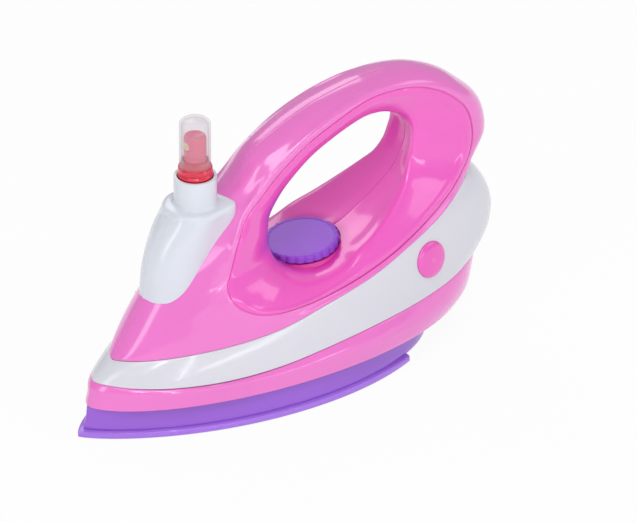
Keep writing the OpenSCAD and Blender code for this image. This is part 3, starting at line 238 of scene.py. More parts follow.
class Form:
    """Turns arrays into Blender meshes."""

    @staticmethod
    def world(places: Grid, length: float) -> Grid:
        """Moves places from the nose frame into Blender metres.

        Args:
            places: distances back, sideways and up in millimetres.
            length: length of the toy in millimetres.

        Returns:
            Places in metres.
        """
        p = np.array(places, float)
        p[..., 0] = length / 2 - p[..., 0]
        return p * MM

    @staticmethod
    def from_faces(name: str, points: Grid, faces: Iterable) -> bpy.types.Object:
        """A linked object from points in metres and faces, with its faces turned outwards.

        Args:
            name: object name.
            points: places in metres.
            faces: corner numbers of each face.

        Returns:
            The linked object.
        """
        mesh = bpy.data.meshes.new(name)
        mesh.from_pydata(np.asarray(points).reshape(-1, 3).tolist(), [], [list(f) for f in faces])
        bm = bmesh.new()
        bm.from_mesh(mesh)
        bmesh.ops.remove_doubles(bm, verts=bm.verts, dist=1e-7)
        bmesh.ops.dissolve_degenerate(bm, edges=bm.edges, dist=1e-7)
        if bm.calc_volume(signed=True) < 0:
            bmesh.ops.reverse_faces(bm, faces=bm.faces)
        bm.to_mesh(mesh)
        bm.free()
        return linked(name, mesh)

    @classmethod
    def ring(cls, name: str, sections: Grid) -> bpy.types.Object:
        """A solid through closed sections that run round in a ring, in metres.

        Args:
            name: object name.
            sections: closed outlines, one for each row round the ring.

        Returns:
            The linked object.
        """
        rows, steps = sections.shape[:2]
        i, j = np.meshgrid(np.arange(rows), np.arange(steps), indexing="ij")
        at = lambda a, b: ((a % rows) * steps + b % steps).ravel()
        faces = np.stack([at(i, j), at(i, j + 1), at(i + 1, j + 1), at(i + 1, j)], -1)
        return cls.from_faces(name, sections, faces)

    @classmethod
    def turned(cls, name: str, profile: Sequence, place: Matrix,
               steps: int = 128) -> bpy.types.Object:
        """A solid turned from a closed profile of radius and height pairs.

        Args:
            name: object name.
            profile: closed outline in millimetres.
            place: where the axis stands, in metres.
            steps: facets round the axis.

        Returns:
            The linked object.
        """
        a = np.linspace(0, 2 * np.pi, steps, endpoint=False)
        r, z = np.array(profile, float).T
        rings = np.stack([np.outer(np.cos(a), r), np.outer(np.sin(a), r),
                          np.broadcast_to(z, (steps, len(z)))], -1) * MM
        made = cls.ring(name, rings)
        made.data.transform(place)
        return made

    @classmethod
    def rod(cls, name: str, radius: float, low: float, high: float, place: Matrix,
            steps: int = 128) -> bpy.types.Object:
        """A plain rod between two heights, to cut with or to keep."""
        outline = [(CORE, low), (radius, low), (radius, high), (CORE, high)]
        return cls.turned(name, outline, place, steps)

    @classmethod
    def prism(cls, name: str, outline: Grid, low: float, high: float) -> bpy.types.Object:
        """An upright block from a plan outline in world millimetres.

        Args:
            name: object name.
            outline: corners seen from above.
            low: height of the underside in millimetres.
            high: height of the top in millimetres.

        Returns:
            The linked object.
        """
        n = len(outline)
        pts = [[x * MM, y * MM, z * MM] for z in (low, high) for x, y in outline]
        faces = [list(range(n))[::-1], list(range(n, 2 * n))]
        faces += [[k, (k + 1) % n, n + (k + 1) % n, n + k] for k in range(n)]
        return cls.from_faces(name, np.array(pts), faces)

    @staticmethod
    def settle(made: bpy.types.Object, smooth: float = 35) -> bpy.types.Object:
        """Applies all modifiers and shades the mesh smooth up to an angle in degrees.

        Args:
            made: the piece.
            smooth: the angle in degrees.

        Returns:
            The same piece with a plain mesh.
        """
        if made.modifiers:
            graph = bpy.context.evaluated_depsgraph_get()
            mesh = bpy.data.meshes.new_from_object(made.evaluated_get(graph))
            made.modifiers.clear()
            old, made.data = made.data, mesh
            bpy.data.meshes.remove(old)
        made.data.shade_smooth()
        made.data.set_sharp_from_angle(angle=math.radians(smooth))
        return made

    @classmethod
    def cut(cls, made: bpy.types.Object, *tools: bpy.types.Object) -> bpy.types.Object:
        """Takes the tools away from a piece and removes them.

        Args:
            made: the piece.
            tools: closed solids to take away.

        Returns:
            The same piece, less the tools.
        """
        for tool in tools:
            mod = made.modifiers.new("cut", "BOOLEAN")
            mod.operation, mod.solver, mod.object = "DIFFERENCE", "EXACT", tool
            cls.settle(made)
        for tool in tools:
            bpy.data.objects.remove(tool)
        return made

    @staticmethod
    def bevel(made: bpy.types.Object, width: float, segments: int = 3, angle: float = 40) -> None:
        """Rounds the sharp edges of a piece.

        Args:
            made: the piece.
            width: width of the rounding in millimetres.
            segments: facets across it.
            angle: least angle of an edge in degrees.
        """
        mod = made.modifiers.new("round", "BEVEL")
        mod.width, mod.segments, mod.limit_method = width * MM, segments, "ANGLE"
        mod.angle_limit = math.radians(angle)

    @staticmethod
    def mirrored(made: bpy.types.Object, name: str) -> bpy.types.Object:
        """A copy of a piece on the other side of the middle plane.

        Args:
            made: the piece.
            name: name of the copy.

        Returns:
            The copy.
        """
        copy = linked(name, made.data.copy())
        copy.data.transform(Matrix.Scale(-1, 4, (0, 1, 0)))
        copy.data.flip_normals()
        return copy


# ---------------------------------------------------------------- node trees


class Wire:
    """An output socket that takes part in sums and products."""

    def __init__(self, graph: "Graph", socket: bpy.types.NodeSocket) -> None:
        """Keeps the tree and the socket."""
        self.graph, self.socket = graph, socket

    def _sum(self, operation: str, a: "Value", b: "Value" = 0.0) -> "Wire":
        """Adds a Math node and returns its result."""
        return self.graph.node("ShaderNodeMath", {0: a, 1: b}, operation=operation)["Value"]

    def __add__(self, other: "Value") -> "Wire":
        """Sum."""
        return self._sum("ADD", self, other)

    def __sub__(self, other: "Value") -> "Wire":
        """Difference."""
        return self._sum("SUBTRACT", self, other)

    def __rsub__(self, other: "Value") -> "Wire":
        """Difference from a number."""
        return self._sum("SUBTRACT", other, self)

    def __mul__(self, other: "Value") -> "Wire":
        """Product."""
        return self._sum("MULTIPLY", self, other)

    def __truediv__(self, other: "Value") -> "Wire":
        """Quotient."""
        return self._sum("DIVIDE", self, other)

    def __pow__(self, other: "Value") -> "Wire":
        """Power."""
        return self._sum("POWER", self, other)

    def sine(self) -> "Wire":
        """Sine of an angle."""
        return self._sum("SINE", self)

    def cosine(self) -> "Wire":
        """Cosine of an angle."""
        return self._sum("COSINE", self)

    def size(self) -> "Wire":
        """Value without its sign."""
        return self._sum("ABSOLUTE", self)

    def clip(self) -> "Wire":
        """Value held between nought and one."""
        return self.graph.node("ShaderNodeClamp", {"Value": self})["Result"]

    __radd__, __rmul__ = __add__, __mul__


Value = Union[Wire, float, int, tuple, str, bool]


class Placed:
    """A node that hands out its outputs as wires."""

    def __init__(self, graph: "Graph", node: bpy.types.Node) -> None:
        """Keeps the tree and the node."""
        self.graph, self.node = graph, node

    def __getitem__(self, name: Union[str, int]) -> Wire:
        """The output of that name or number."""
        return Wire(self.graph, self.node.outputs[name])


class Graph:
    """A shader or geometry tree that is written as expressions."""

    def __init__(self, tree: bpy.types.NodeTree) -> None:
        """Keeps the tree and empties it."""
        self.tree = tree
        tree.nodes.clear()

    def node(self, kind: str, values: Optional[dict] = None, **settings: object) -> Placed:
        """Adds a node.

        Args:
            kind: Blender's node type.
            values: numbers, colours, wires or lists of wires by socket name or number.
            settings: the node's properties, which are set first.

        Returns:
            The node, ready to hand out its outputs.
        """
        made = self.tree.nodes.new(kind)
        for key, value in settings.items():
            setattr(made, key, value)
        for key, value in (values or {}).items():
            for one in value if isinstance(value, list) else [value]:
                if isinstance(one, Wire):
                    self.tree.links.new(one.socket, made.inputs[key])
                else:
                    made.inputs[key].default_value = one
        return Placed(self, made)

    def noise(self, at: Wire, scale: float, detail: float = 2.0, **more: float) -> Wire:
        """Noise at these places, between nought and one."""
        return self.node("ShaderNodeTexNoise", {
            "Vector": at, "Scale": scale, "Detail": detail, **more})["Fac"]

    def blend(self, factor: "Value", first: "Value", second: "Value") -> Wire:
        """A colour that goes from the first to the second as the factor rises."""
        return self.node("ShaderNodeMix", {"Factor": factor, 6: first, 7: second},
                         data_type="RGBA")[2]

    def vector(self, **parts: "Value") -> Wire:
        """A vector from the parts X, Y and Z, each nought where it isn't given."""
        return self.node("ShaderNodeCombineXYZ", parts)["Vector"]


def linear(hex_colour: str) -> tuple:
    """Linear colour with full alpha from a web colour."""
    parts = [int(hex_colour[k:k + 2], 16) / 255 for k in (0, 2, 4)]
    plain = [c / 12.92 if c <= 0.04045 else ((c + 0.055) / 1.055) ** 2.4 for c in parts]
    return tuple(plain) + (1.0,)


def shaded(colour: tuple, factor: float) -> tuple:
    """A lighter or darker colour."""
    return tuple(min(c * factor, 1.0) for c in colour[:3]) + (1.0,)


# ---------------------------------------------------------------- finishes


class Surface:
    """A finish that builds its own material."""

    def shade(self, g: Graph, at: Wire) -> Wire:
        """Joins the nodes of the finish, given the places on the piece, and returns the shader."""
        raise NotImplementedError

    def build(self, name: str) -> bpy.types.Material:
        """Makes the material.

        Args:
            name: material name.

        Returns:
            The material with its tree.
        """
        made = bpy.data.materials.new(name)
        made.use_nodes = True
        g = Graph(made.node_tree)
        shader = self.shade(g, g.node("ShaderNodeTexCoord")["Object"])
        g.node("ShaderNodeOutputMaterial", {"Surface": shader})
        return made


@dataclass(frozen=True)
class Moulded(Surface):
    """Glossy injection-moulded plastic with faint flow marks, fine grain and rubbed edges.

    The painted shade spot is a place and two radii in millimetres, between which a darker tone
    fades out: painted shade round the dial's recess.
    """

    colour: str
    roughness: float = 0.2
    coat: float = 0.35
    tone: float = 0.06
    grain: float = 0.012
    grain_scale: float = 1400.0
    wear: float = 0.35
    inner_glow: float = 0.0
    painted_shade_spot: tuple = ()
    painted_shade_shares: tuple = (0.72, 0.1, 0.62)

    def painted_shade(self, g: Graph, at: Wire, toned: Wire, base: tuple) -> Wire:
        """The colour with painted shade, a darker tone, mixed in round the spot's middle.

        Args:
            g: the tree to join them in.
            at: places on the piece.
            toned: the colour so far.
            base: the finish's own colour.

        Returns:
            The mixed colour.
        """
        away = g.node("ShaderNodeVectorMath", {
            0: at, 1: tuple(c * MM for c in self.painted_shade_spot[:3])}, operation="DISTANCE")["Value"]
        near, far = self.painted_shade_spot[3] * MM, self.painted_shade_spot[4] * MM
        # painted shade: a darker tone that fades out between the two radii round the spot
        depth = ((away * -1.0 + far) * (1 / (far - near))).clip()
        shade_colour = tuple(c * share for c, share in zip(base, self.painted_shade_shares)) + (1.0,)
        return g.blend(depth * 0.95, toned, shade_colour)

    def shade(self, g: Graph, at: Wire) -> Wire:
        """Colour, gloss and grain of the plastic, with painted shade round a spot where one is
        given.

        Args:
            g: the tree to join them in.
            at: places on the piece.

        Returns:
            The shader.
        """
        base = linear(self.colour)
        flow = g.noise(at, scale=22.0, detail=3.0, Roughness=0.5, Distortion=0.6)
        fine = g.noise(at, scale=self.grain_scale, Roughness=0.6)
        smear = g.noise(at, scale=95.0, detail=4.0, Roughness=0.62)
        edge = g.node("ShaderNodeNewGeometry")["Pointiness"]
        rubbed = ((edge - 0.53) * 9.0).clip() * self.wear
        toned = g.blend(flow, shaded(base, 1 - self.tone), shaded(base, 1 + self.tone))
        if self.painted_shade_spot:
            toned = self.painted_shade(g, at, toned, base)
        pale = tuple(min(c * 0.7 + 0.3, 1.0) for c in base[:3]) + (1.0,)
        dull = (smear - 0.5) * 0.16 + self.roughness + rubbed * 0.12
        bump = g.node("ShaderNodeBump", {"Strength": self.grain, "Distance": 0.0004,
                                         "Height": fine + flow * 0.6})["Normal"]
        return g.node("ShaderNodeBsdfPrincipled", {
            "Base Color": g.blend(rubbed, toned, pale), "Roughness": dull.clip(), "Normal": bump,
            "Coat Weight": self.coat, "Coat Roughness": 0.06, "IOR": 1.5,
            "Subsurface Weight": self.inner_glow, "Subsurface Scale": 0.004})["BSDF"]


@dataclass(frozen=True)
class Clear(Surface):
    """Clear moulded plastic: see-through face on, glossy and greyer toward its edges."""

    tint: str = "FCFBFC"
    shine: str = "E6E4E8"
    least: float = 0.08
    most: float = 0.7

    def shade(self, g: Graph, at: Wire) -> Wire:
        """A glossy face over a see-through one, by the angle of view.

        Args:
            g: the tree to join them in.
            at: places on the piece.

        Returns:
            The shader.
        """
        smear = g.noise(at, scale=160.0, detail=3.0)
        rim = g.node("ShaderNodeLayerWeight", {"Blend": 0.35})["Facing"]
        through = g.node("ShaderNodeBsdfTransparent", {"Color": linear(self.tint)})["BSDF"]
        shine = linear(self.shine)
        gloss = g.node("ShaderNodeBsdfPrincipled", {
            "Base Color": g.blend(smear, shine, shaded(shine, 0.93)),
            "Roughness": (smear * 0.06 + 0.05).clip(), "Coat Weight": 0.5})["BSDF"]
        seen = (rim ** 2.2 * self.most + self.least + smear * 0.04).clip()
        return g.node("ShaderNodeMixShader", {0: seen, 1: through, 2: gloss})["Shader"]


@dataclass(frozen=True)
class Metal(Surface):
    """Plated or drawn metal with fine drawing marks and dull spots."""

    colour: str
    roughness: float = 0.28
    marks: float = 0.08

    def shade(self, g: Graph, at: Wire) -> Wire:
        """Spotted tone and gloss, with marks stretched across the drawing direction.

        Args:
            g: the tree to join them in.
            at: places on the piece.

        Returns:
            The shader.
        """
        base = linear(self.colour)
        spots = g.noise(at, scale=420.0, detail=4.0)
        stretched = g.node("ShaderNodeMapping", {
            "Vector": at, "Scale": (300.0, 300.0, 4000.0)})["Vector"]
        bump = g.node("ShaderNodeBump", {"Strength": self.marks, "Distance": 0.0002,
                                         "Height": g.noise(stretched, scale=1.0)})["Normal"]
        return g.node("ShaderNodeBsdfPrincipled", {
            "Base Color": g.blend(spots, shaded(base, 0.86), shaded(base, 1.08)),
            "Metallic": 1.0, "Normal": bump,
            "Roughness": ((spots - 0.5) * 0.25 + self.roughness).clip()})["BSDF"]


@dataclass(frozen=True)
class Paper(Surface):
    """Pale paper that the camera sees as white, but for soft shadows."""

    low: str = "F7F7FA"
    high: str = "FFFFFF"
    glow: float = 0.94

    def shade(self, g: Graph, at: Wire) -> Wire:
        """A plain sheet, with its glow mixed in for the camera and for what mirrors it.

        Args:
            g: the tree to join them in.
            at: places on the piece.

        Returns:
            The shader.
        """
        fibre = g.noise(at, scale=220.0, detail=4.0)
        tone = g.blend(fibre, linear(self.low), linear(self.high))
        sheet = g.node("ShaderNodeBsdfDiffuse", {"Color": tone})["BSDF"]
        glow = g.node("ShaderNodeEmission", {"Color": (1, 1, 1, 1), "Strength": 1.0})["Emission"]
        path = g.node("ShaderNodeLightPath")
        seen = path["Is Camera Ray"] + path["Is Glossy Ray"] + path["Is Transmission Ray"]
        return g.node("ShaderNodeMixShader", {
            0: seen.clip() * self.glow, 1: sheet, 2: glow})["Shader"]


class Finish(Enum):
    """Every finish on the toy, by what it covers."""

    PINK_SHELL = Moulded("F279CD", 0.2, 0.85)
    # the liner carries painted shade, a darker tone round the dial's recess
    PINK_LINER = Moulded("F45EC5", 0.22, 0.85, painted_shade_spot=(-9.75, 0, 58.0, 17.5, 22.5))
    PINK_SKIRT = Moulded("F076CB", 0.2, 0.85)
    PINK_BUTTON = Moulded("F058BE", 0.2, 0.85)
    WHITE_BAND = Moulded("DCDCE2", 0.22, 0.4, 0.02, wear=0.1)
    WHITE_HOOD = Moulded("DEE2E9", 0.2, 0.45, 0.02, wear=0.1)
    PURPLE_SOLE = Moulded("AA74E4", 0.24, 0.35)
    PURPLE_TRAY = Moulded("9654D2", 0.2, 0.85)
    PURPLE_DIAL = Moulded("9046D6", 0.34, 0.1)
    PURPLE_DOOR = Moulded("9560D8", 0.28, 0.25)
    # pink darkened to deep magenta as painted shade for the recess under the dial; the chassis
    # plate reuses it
    DEEP_PINK_WELL = Moulded("DE2AA0", 0.3, 0.2)
    RED_COLLAR = Moulded("DE1C40", 0.16, 0.5, inner_glow=0.15)
    ROSE_HEAD = Moulded("F0688A", 0.18, 0.5, inner_glow=0.35)
    CREAM_NOZZLE = Moulded("F2E0AC", 0.3, 0.2)
    CLEAR_CAP = Clear()
    CLEAR_TANK = Clear("E6F1F6", "DCE9F0", 0.3, 0.6)
    MILKY_PUMP = Moulded("F2F2EE", 0.32, 0.15, inner_glow=0.3)
    RUBBER = Moulded("3A3A3E", 0.62, 0.0, 0.12, 0.06, 900.0)
    BLACK_SWITCH = Moulded("2A2A2E", 0.4, 0.1, 0.1)
    LILAC_BOX = Moulded("D8B8E8", 0.34, 0.1)
    GREEN_BOARD = Moulded("1F7A45", 0.3, 0.4, 0.14, 0.05, 700.0)
    BLACK_CHIPS = Moulded("24242A", 0.35, 0.1, 0.2)
    GREEN_CELL = Moulded("2E8B57", 0.22, 0.5, 0.1)
    STEEL = Metal("C9CBD0")
    SPRING_STEEL = Metal("B4B8C0", 0.24)
    BRASS = Metal("C9A45A", 0.26)

    def material(self) -> bpy.types.Material:
        """The finish's material, made once."""
        name = f"finish_{self.name.lower()}"
        return bpy.data.materials.get(name) or self.value.build(name)


def dress(made: bpy.types.Object, finish: Finish, body: str, *nodes: str) -> bpy.types.Object:
    """Gives a finished piece its material, its body and the nodes that it stands for.

    Args:
        made: the piece, in place.
        finish: its finish.
        body: the body that it rides on.
        nodes: the nodes that it replaces.

    Returns:
        The same piece.
    """
    made.data.materials.clear()
    made.data.materials.append(finish.material())
    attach(made, body)
    if nodes:
        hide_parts(*nodes)
        nodes[0]
    LOG.info("%s rides on %s with %d faces", made.name, body, len(made.data.polygons))
    return made


# ---------------------------------------------------------------- the moulded body


@dataclass(frozen=True)
class Plan:
    """An outline seen from above, from the nose at 0 degrees round to the back at 180."""

    nose: float
    widest: float
    rear: float
    half: float
    power: float
    fill: float = 1.4

    def at(self, angle: Grid, inset: float = 0.0) -> Grid:
        """Distances back and sideways at these angles, drawn in by an inset.

        Args:
            angle: degrees from the nose round to the back.
            inset: how far the outline is drawn in, in millimetres.

        Returns:
            Pairs of distance back and distance sideways.
        """
        a = np.radians(np.asarray(angle, float))
        c, s = np.cos(a), np.clip(np.sin(a), 0, None)
        nose, rear, half = self.nose + self.fill * inset, self.rear - inset, self.half - inset
        front = c > 0
        return np.stack([self.widest - np.where(front, self.widest - nose, rear - self.widest) * c,
                         half * np.where(front, s ** self.power, s)], -1)


@dataclass(frozen=True)
class BodyForm:
    """The curves that every moulded shell of the body follows."""

    length: float = 216.5
    width: float = 78.0
    top: float = 131.0
    base: float = 13.5
    groove: float = 0.6
    palm_swell: float = 4.5
    edge_rows: int = 12
    row_steps: int = 9
    stations: int = 28
    columns: int = 8
    nose_power: float = 1.65
    band_bulge: float = 1.2
    band_rear_ease: float = 1.45
    band_sag: float = 0.08
    skirt_side: float = 21.0
    skirt_side_follow: float = 0.3
    skirt_side_inset: float = 0.15
    skirt_top_inset: float = 0.3
    skirt_round_share: float = 0.28
    skirt_round_height: float = 4.65
    button_angle: float = 125.8
    button_share: float = 0.58
    button_beside: tuple = (0.56, 0.6)
    sole: Plan = Plan(0, 106.085, 183, 38.8, 1.65, 1.0)
    tray: Plan = Plan(3, 106.085, 180.5, 36.75, 1.65)
    skirt_base: Plan = Plan(5, 111.9305, 198.5, 38.3, 1.27)
    skirt: Plan = Plan(6.5, 111.9305, 205.7, 39, 1.27)
    band: Plan = Plan(8.3, 108.0335, 208.5, 37, 1.27)
    shell: Plan = Plan(18, 108.0335, 204.5, 33.3, 1.27)
    band_base: Table = Table([0.1, 0.098, 0.09, 0.083, 0.082, 0.093, 0.115, 0.131, 0.141, 0.151,
                              0.166, 0.176, 0.179])
    band_top: Table = Table([0.167, 0.173, 0.181, 0.193, 0.207, 0.23, 0.276, 0.319, 0.379, 0.43,
                             0.484, 0.517, 0.519])
    gap: Table = Table([
        [0.449, 0.481], [0.453, 0.447], [0.459, 0.409], [0.471, 0.381], [0.492, 0.363],
        [0.522, 0.359], [0.557, 0.367], [0.6, 0.394], [0.651, 0.428], [0.707, 0.487],
        [0.753, 0.549], [0.774, 0.587], [0.789, 0.634], [0.797, 0.672], [0.8, 0.706],
        [0.799, 0.74], [0.791, 0.773],
        [0.774, 0.804], [0.746, 0.829], [0.718, 0.839], [0.686, 0.838], [0.654, 0.826],
        [0.603, 0.797], [0.55, 0.751], [0.501, 0.681], [0.473, 0.624], [0.456, 0.57],
        [0.45, 0.523]], True)
    rim: Table = Table([
        [0.306, 0.538, 0.479], [0.292, 0.59, 0.434], [0.298, 0.667, 0.377],
        [0.333, 0.726, 0.321], [0.385, 0.795, 0.297], [0.456, 0.821, 0.297], [0.522, 0.821, 0.31],
        [0.601, 0.795, 0.334], [0.684, 0.744, 0.375], [0.77, 0.641, 0.429], [0.841, 0.513, 0.481],
        [0.88, 0.423, 0.52], [0.912, 0.359, 0.579], [0.925, 0.333, 0.646], [0.924, 0.321, 0.714],
        [0.914, 0.308, 0.775], [0.887, 0.308, 0.836], [0.849, 0.308, 0.892], [0.802, 0.308, 0.935],
        [0.755, 0.308, 0.957], [0.704, 0.303, 0.963], [0.655, 0.313, 0.954], [0.583, 0.333, 0.914],
        [0.516, 0.341, 0.862], [0.45, 0.346, 0.783], [0.407, 0.359, 0.718], [0.365, 0.397, 0.66],
        [0.33, 0.5, 0.587]], True)
    crest: Table = Table([
        [0.945, 0.519], [0.982, 0.634], [0.979, 0.728], [0.96, 0.798], [0.926, 0.862],
        [0.882, 0.928], [0.827, 0.978], [0.771, 1], [0.716, 1], [0.658, 0.992], [0.568, 0.961],
        [0.49, 0.91], [0.42, 0.84], [0.368, 0.74], [0.286, 0.626], [0.166, 0.391],
        [0.083, 0.167]])
    row_angles: Table = Table([0, 34, 50, 62, 74, 84, 93, 104, 115, 129, 142, 157, 180])
    turn: Table = Table([0.5] + [0] * 11 + [0.5] + [1] * 15, True)
    nose: Table = Table([1, 1, 1, 0.6, 0.2] + [0] * 20 + [0.4, 0.9, 1], True)
    flat: Table = Table([0, 0.1, 0.25, 0.45, 0.65, 0.8, 0.9, 1, 1, 1, 1, 1, 1, 1, 0.95, 0.85, 0.65,
                         0.4, 0.2, 0.05, 0, 0, 0, 0, 0, 0, 0, 0], True)
    palm: Table = Table([0, 0, 0, 0, 0, 0.1, 0.3, 0.55, 0.75, 0.9, 1, 1.1, 1.2, 1.25, 1.2, 1.05,
                         0.8, 0.45, 0.2, 0.05, 0, 0, 0, 0, 0, 0, 0, 0], True)
    round_across: Table = Table([[0, 0], [0.2, 0.02], [0.39, 0.08], [0.57, 0.18], [0.72, 0.31],
                                 [0.84, 0.46], [0.93, 0.63], [0.98, 0.81], [1, 1]])
    flat_across: Table = Table([[0, 0], [0.25, 0], [0.5, 0], [0.7, 0.03], [0.83, 0.12],
                                [0.91, 0.29], [0.95, 0.5], [0.985, 0.76], [1, 1]])
    swell_across: Table = Table([0, 0.1, 0.38, 0.75, 1, 0.85, 0.5, 0.15, 0])

    @property
    def rise(self) -> float:
        """Height of the body over the tray."""
        return self.top - self.base

    def height(self, shares: Grid) -> Grid:
        """Heights from shares of the rise."""
        return self.base + self.rise * shares

    def world(self, places: Grid) -> Grid:
        """Blender metres from places in the nose frame."""
        return Form.world(places, self.length)

    def gap_point(self, u: Grid) -> Grid:
        """Opening of the handle on the middle plane."""
        s = self.gap.smooth(u)
        return np.stack([self.length * s[..., 0], 0 * s[..., 0], self.height(s[..., 1])], -1)

    def rim_point(self, u: Grid) -> Grid:
        """Groove between the grip lining and the outer shells."""
        s = self.rim.smooth(u)
        return np.stack([self.length * s[..., 0], self.width / 2 * s[..., 1],
                         self.height(s[..., 2])], -1)

    def crest_point(self, u: Grid) -> Grid:
        """Crest of the handle, from the back of the band over the top to the nose."""
        s = self.crest.smooth(u)
        return np.stack([self.length * s[..., 0], 0 * s[..., 0], self.height(s[..., 1])], -1)

    def edge_angle(self, u: Grid) -> Grid:
        """Plan angle at which a row meets the upper edge of the band."""
        return np.clip(self.row_angles.smooth(u)[..., 0], 0, 180)

    def edge_height(self, table: Table, angle: Grid) -> Grid:
        """Height of an edge of the band at these angles."""
        return self.height(table.smooth(np.asarray(angle, float) / 15)[..., 0])

    def on_plan(self, plan: Plan, angle: Grid, z: Grid, inset: float = 0.0) -> Grid:
        """Places on an outline at given heights."""
        p = plan.at(angle, inset)
        return np.concatenate([p, np.broadcast_to(z, p.shape[:-1])[..., None]], -1)

    def edge_point(self, angle: Grid) -> Grid:
        """Upper edge of the band."""
        return self.on_plan(self.shell, angle, self.edge_height(self.band_top, angle))

    def outer_edge(self, u: Grid) -> Grid:
        """End of each row of the outer shell: on the band, then on the crest.

        Args:
            u: places round the loops, counted in stations.

        Returns:
            Places in the nose frame.
        """
        on_band = self.edge_point(self.edge_angle(u))
        on_crest = self.crest_point(np.clip(u - self.edge_rows, 0, None))
        return np.where((u <= self.edge_rows)[..., None], on_band, on_crest)

    def nose_side(self, back: Grid, z: Grid) -> Grid:
        """Half width of the nose at a distance back and a height.

        Args:
            back: distances back in millimetres.
            z: heights in millimetres.

        Returns:
            Half widths in millimetres.
        """
        c = np.clip((self.shell.widest - back) / (self.shell.widest - self.shell.nose), -1, 1)
        angle = np.degrees(np.arccos(c))
        base = self.edge_point(angle)
        line = self.crest_point(np.linspace(16, 8, 81))
        top = np.interp(back, line[:, 0], line[:, 2])
        q = np.clip((z - base[..., 2]) / np.maximum(top - base[..., 2], 0.2), 0, 1)
        return base[..., 1] * (1 - q ** self.nose_power) ** (1 / self.nose_power)

    def loop_places(self, rows: int) -> Grid:
        """Places of the rows round the loops, counted in listed stations."""
        return np.arange(rows) / rows * self.stations

    def lining(self, rows: int, steps: int) -> Grid:
        """The grip lining from the opening out to the groove, as a grid.

        Args:
            rows: rows round the loops.
            steps: steps across.

        Returns:
            Places in the nose frame, as rows and steps.
        """
        u, v = spread(self.loop_places(rows), steps, self.columns)
        a, p = self.gap_point(u), self.rim_point(u)
        flat = np.clip(self.flat.smooth(u), 0, 1)
        s = self.round_across.smooth(v) * (1 - flat) + self.flat_across.smooth(v) * flat
        swell = self.swell_across.smooth(v) * self.palm.smooth(u) * self.palm_swell
        d = (p - a) * np.array([1.0, 0.0, 1.0])
        side = np.stack([0 * s[..., 0], s[..., 0] * p[..., 1], 0 * s[..., 0]], -1)
        return a + side + d * s[..., 1:2] - unit(d) * swell

    def casing(self, rows: int, steps: int) -> Grid:
        """The outer shell from the groove to the band and the crest, as a grid.

        Args:
            rows: rows round the loops.
            steps: steps across.

        Returns:
            Places in the nose frame, as rows and steps.
        """
        u, v = spread(self.loop_places(rows), steps)
        v = v[..., None]
        p, o = self.rim_point(u), self.outer_edge(u)
        turn, nose = self.turn.straight(u), self.nose.straight(u)
        flatly = np.array([1.0, 0.0, 1.0])
        c1 = p + QUARTER_ARM * (o - p) * flatly
        lift = np.concatenate([0 * turn, turn * p[..., 1:2], (1 - turn) * (p - o)[..., 2:3]], -1)
        c2, w = o + QUARTER_ARM * lift, 1 - v
        bent = w ** 3 * p + 3 * w * w * v * c1 + 3 * w * v * v * c2 + v ** 3 * o
        straight = p + (o - p) * (1 - w ** 1.5)
        m = bent * (1 - nose) + straight * nose
        k = np.clip(2 * v, 0, 1)
        ease = (k * k * (3 - 2 * k) * nose)[..., 0]
        side = bent[..., 1] * (1 - ease) + self.nose_side(m[..., 0], m[..., 2]) * ease
        made = np.stack([m[..., 0], side, m[..., 2]], -1)
        made[:, -1] = o[:, -1]
        return made

    def round_columns(self) -> tuple:
        """Plan angles and sides of the columns that run round the whole body."""
        k = np.arange(self.edge_rows * self.row_steps + 1) / self.row_steps
        a = self.edge_angle(k)
        side = np.concatenate([np.ones(len(a)), -np.ones(len(a) - 2)])
        return np.concatenate([a, a[-2:0:-1]]), side

    def band_surface(self, angle: Grid, v: Grid) -> Grid:
        """White band from its lower edge (v = 0) to its upper edge (v = 1).

        Args:
            angle: plan angles in degrees.
            v: shares of the way up.

        Returns:
            Places in the nose frame.
        """
        a = self.on_plan(self.band, angle, self.edge_height(self.band_base, angle))
        b = self.edge_point(angle)
        back = np.where(angle > 90, np.cos(np.radians(angle)) ** 4, 0)[..., None]
        rear_swell = self.length - (self.band.rear + self.shell.rear) / 2
        rad = np.radians(angle)
        out = np.stack([-np.cos(rad), np.sin(rad), 0 * rad], -1)
        m = (a + b) / 2 + out * (self.band_bulge + (2 * rear_swell - self.band_rear_ease) * back)
        m = m - np.array([0, 0, self.band_sag]) * back * (b - a)[..., 2:3]
        v, w = v[..., None], 1 - v[..., None]
        return w * w * a + 2 * w * v * m + v * v * b

    def skirt_surface(self, angle: Grid, v: Grid) -> Grid:
        """Pink skirt from the tray (v = 0) up to the white band (v = 1).

        Args:
            angle: plan angles in degrees.
            v: shares of the way up.

        Returns:
            Places in the nose frame.
        """
        z2 = self.edge_height(self.band_base, angle)
        s0 = self.on_plan(self.skirt_base, angle, self.base + 0 * z2)
        s2 = self.on_plan(self.band, angle, z2, self.skirt_top_inset)
        z1 = self.skirt_side * (1 - self.skirt_side_follow) + z2 * self.skirt_side_follow
        s1 = self.on_plan(self.skirt, angle, z1, self.skirt_side_inset)
        sb = s0 * self.skirt_round_share + s1 * (1 - self.skirt_round_share)
        sb[..., 2] = self.base + self.skirt_round_height
        rows, t = [s0, sb, s1, s2], v[..., None] * 3
        made = np.zeros_like(s0)
        for k in range(3):
            a, d = rows[max(k - 1, 0)], rows[min(k + 2, 3)]
            piece = cubic(a, rows[k], rows[k + 1], d, t - k)
            made = np.where((t >= k) & (t <= k + 1), piece, made)
        return made

    def round_grid(self, surface: Callable, steps: int) -> Grid:
        """A grid of one of the surfaces round the whole body.

        Args:
            surface: gives places from plan angles and shares of the way up.
            steps: steps on the way up.

        Returns:
            Places in the nose frame, as rows and steps.
        """
        angle, side = self.round_columns()
        made = surface(*spread(angle, steps))
        made[..., 1] *= side[:, None]
        return made[::-1]

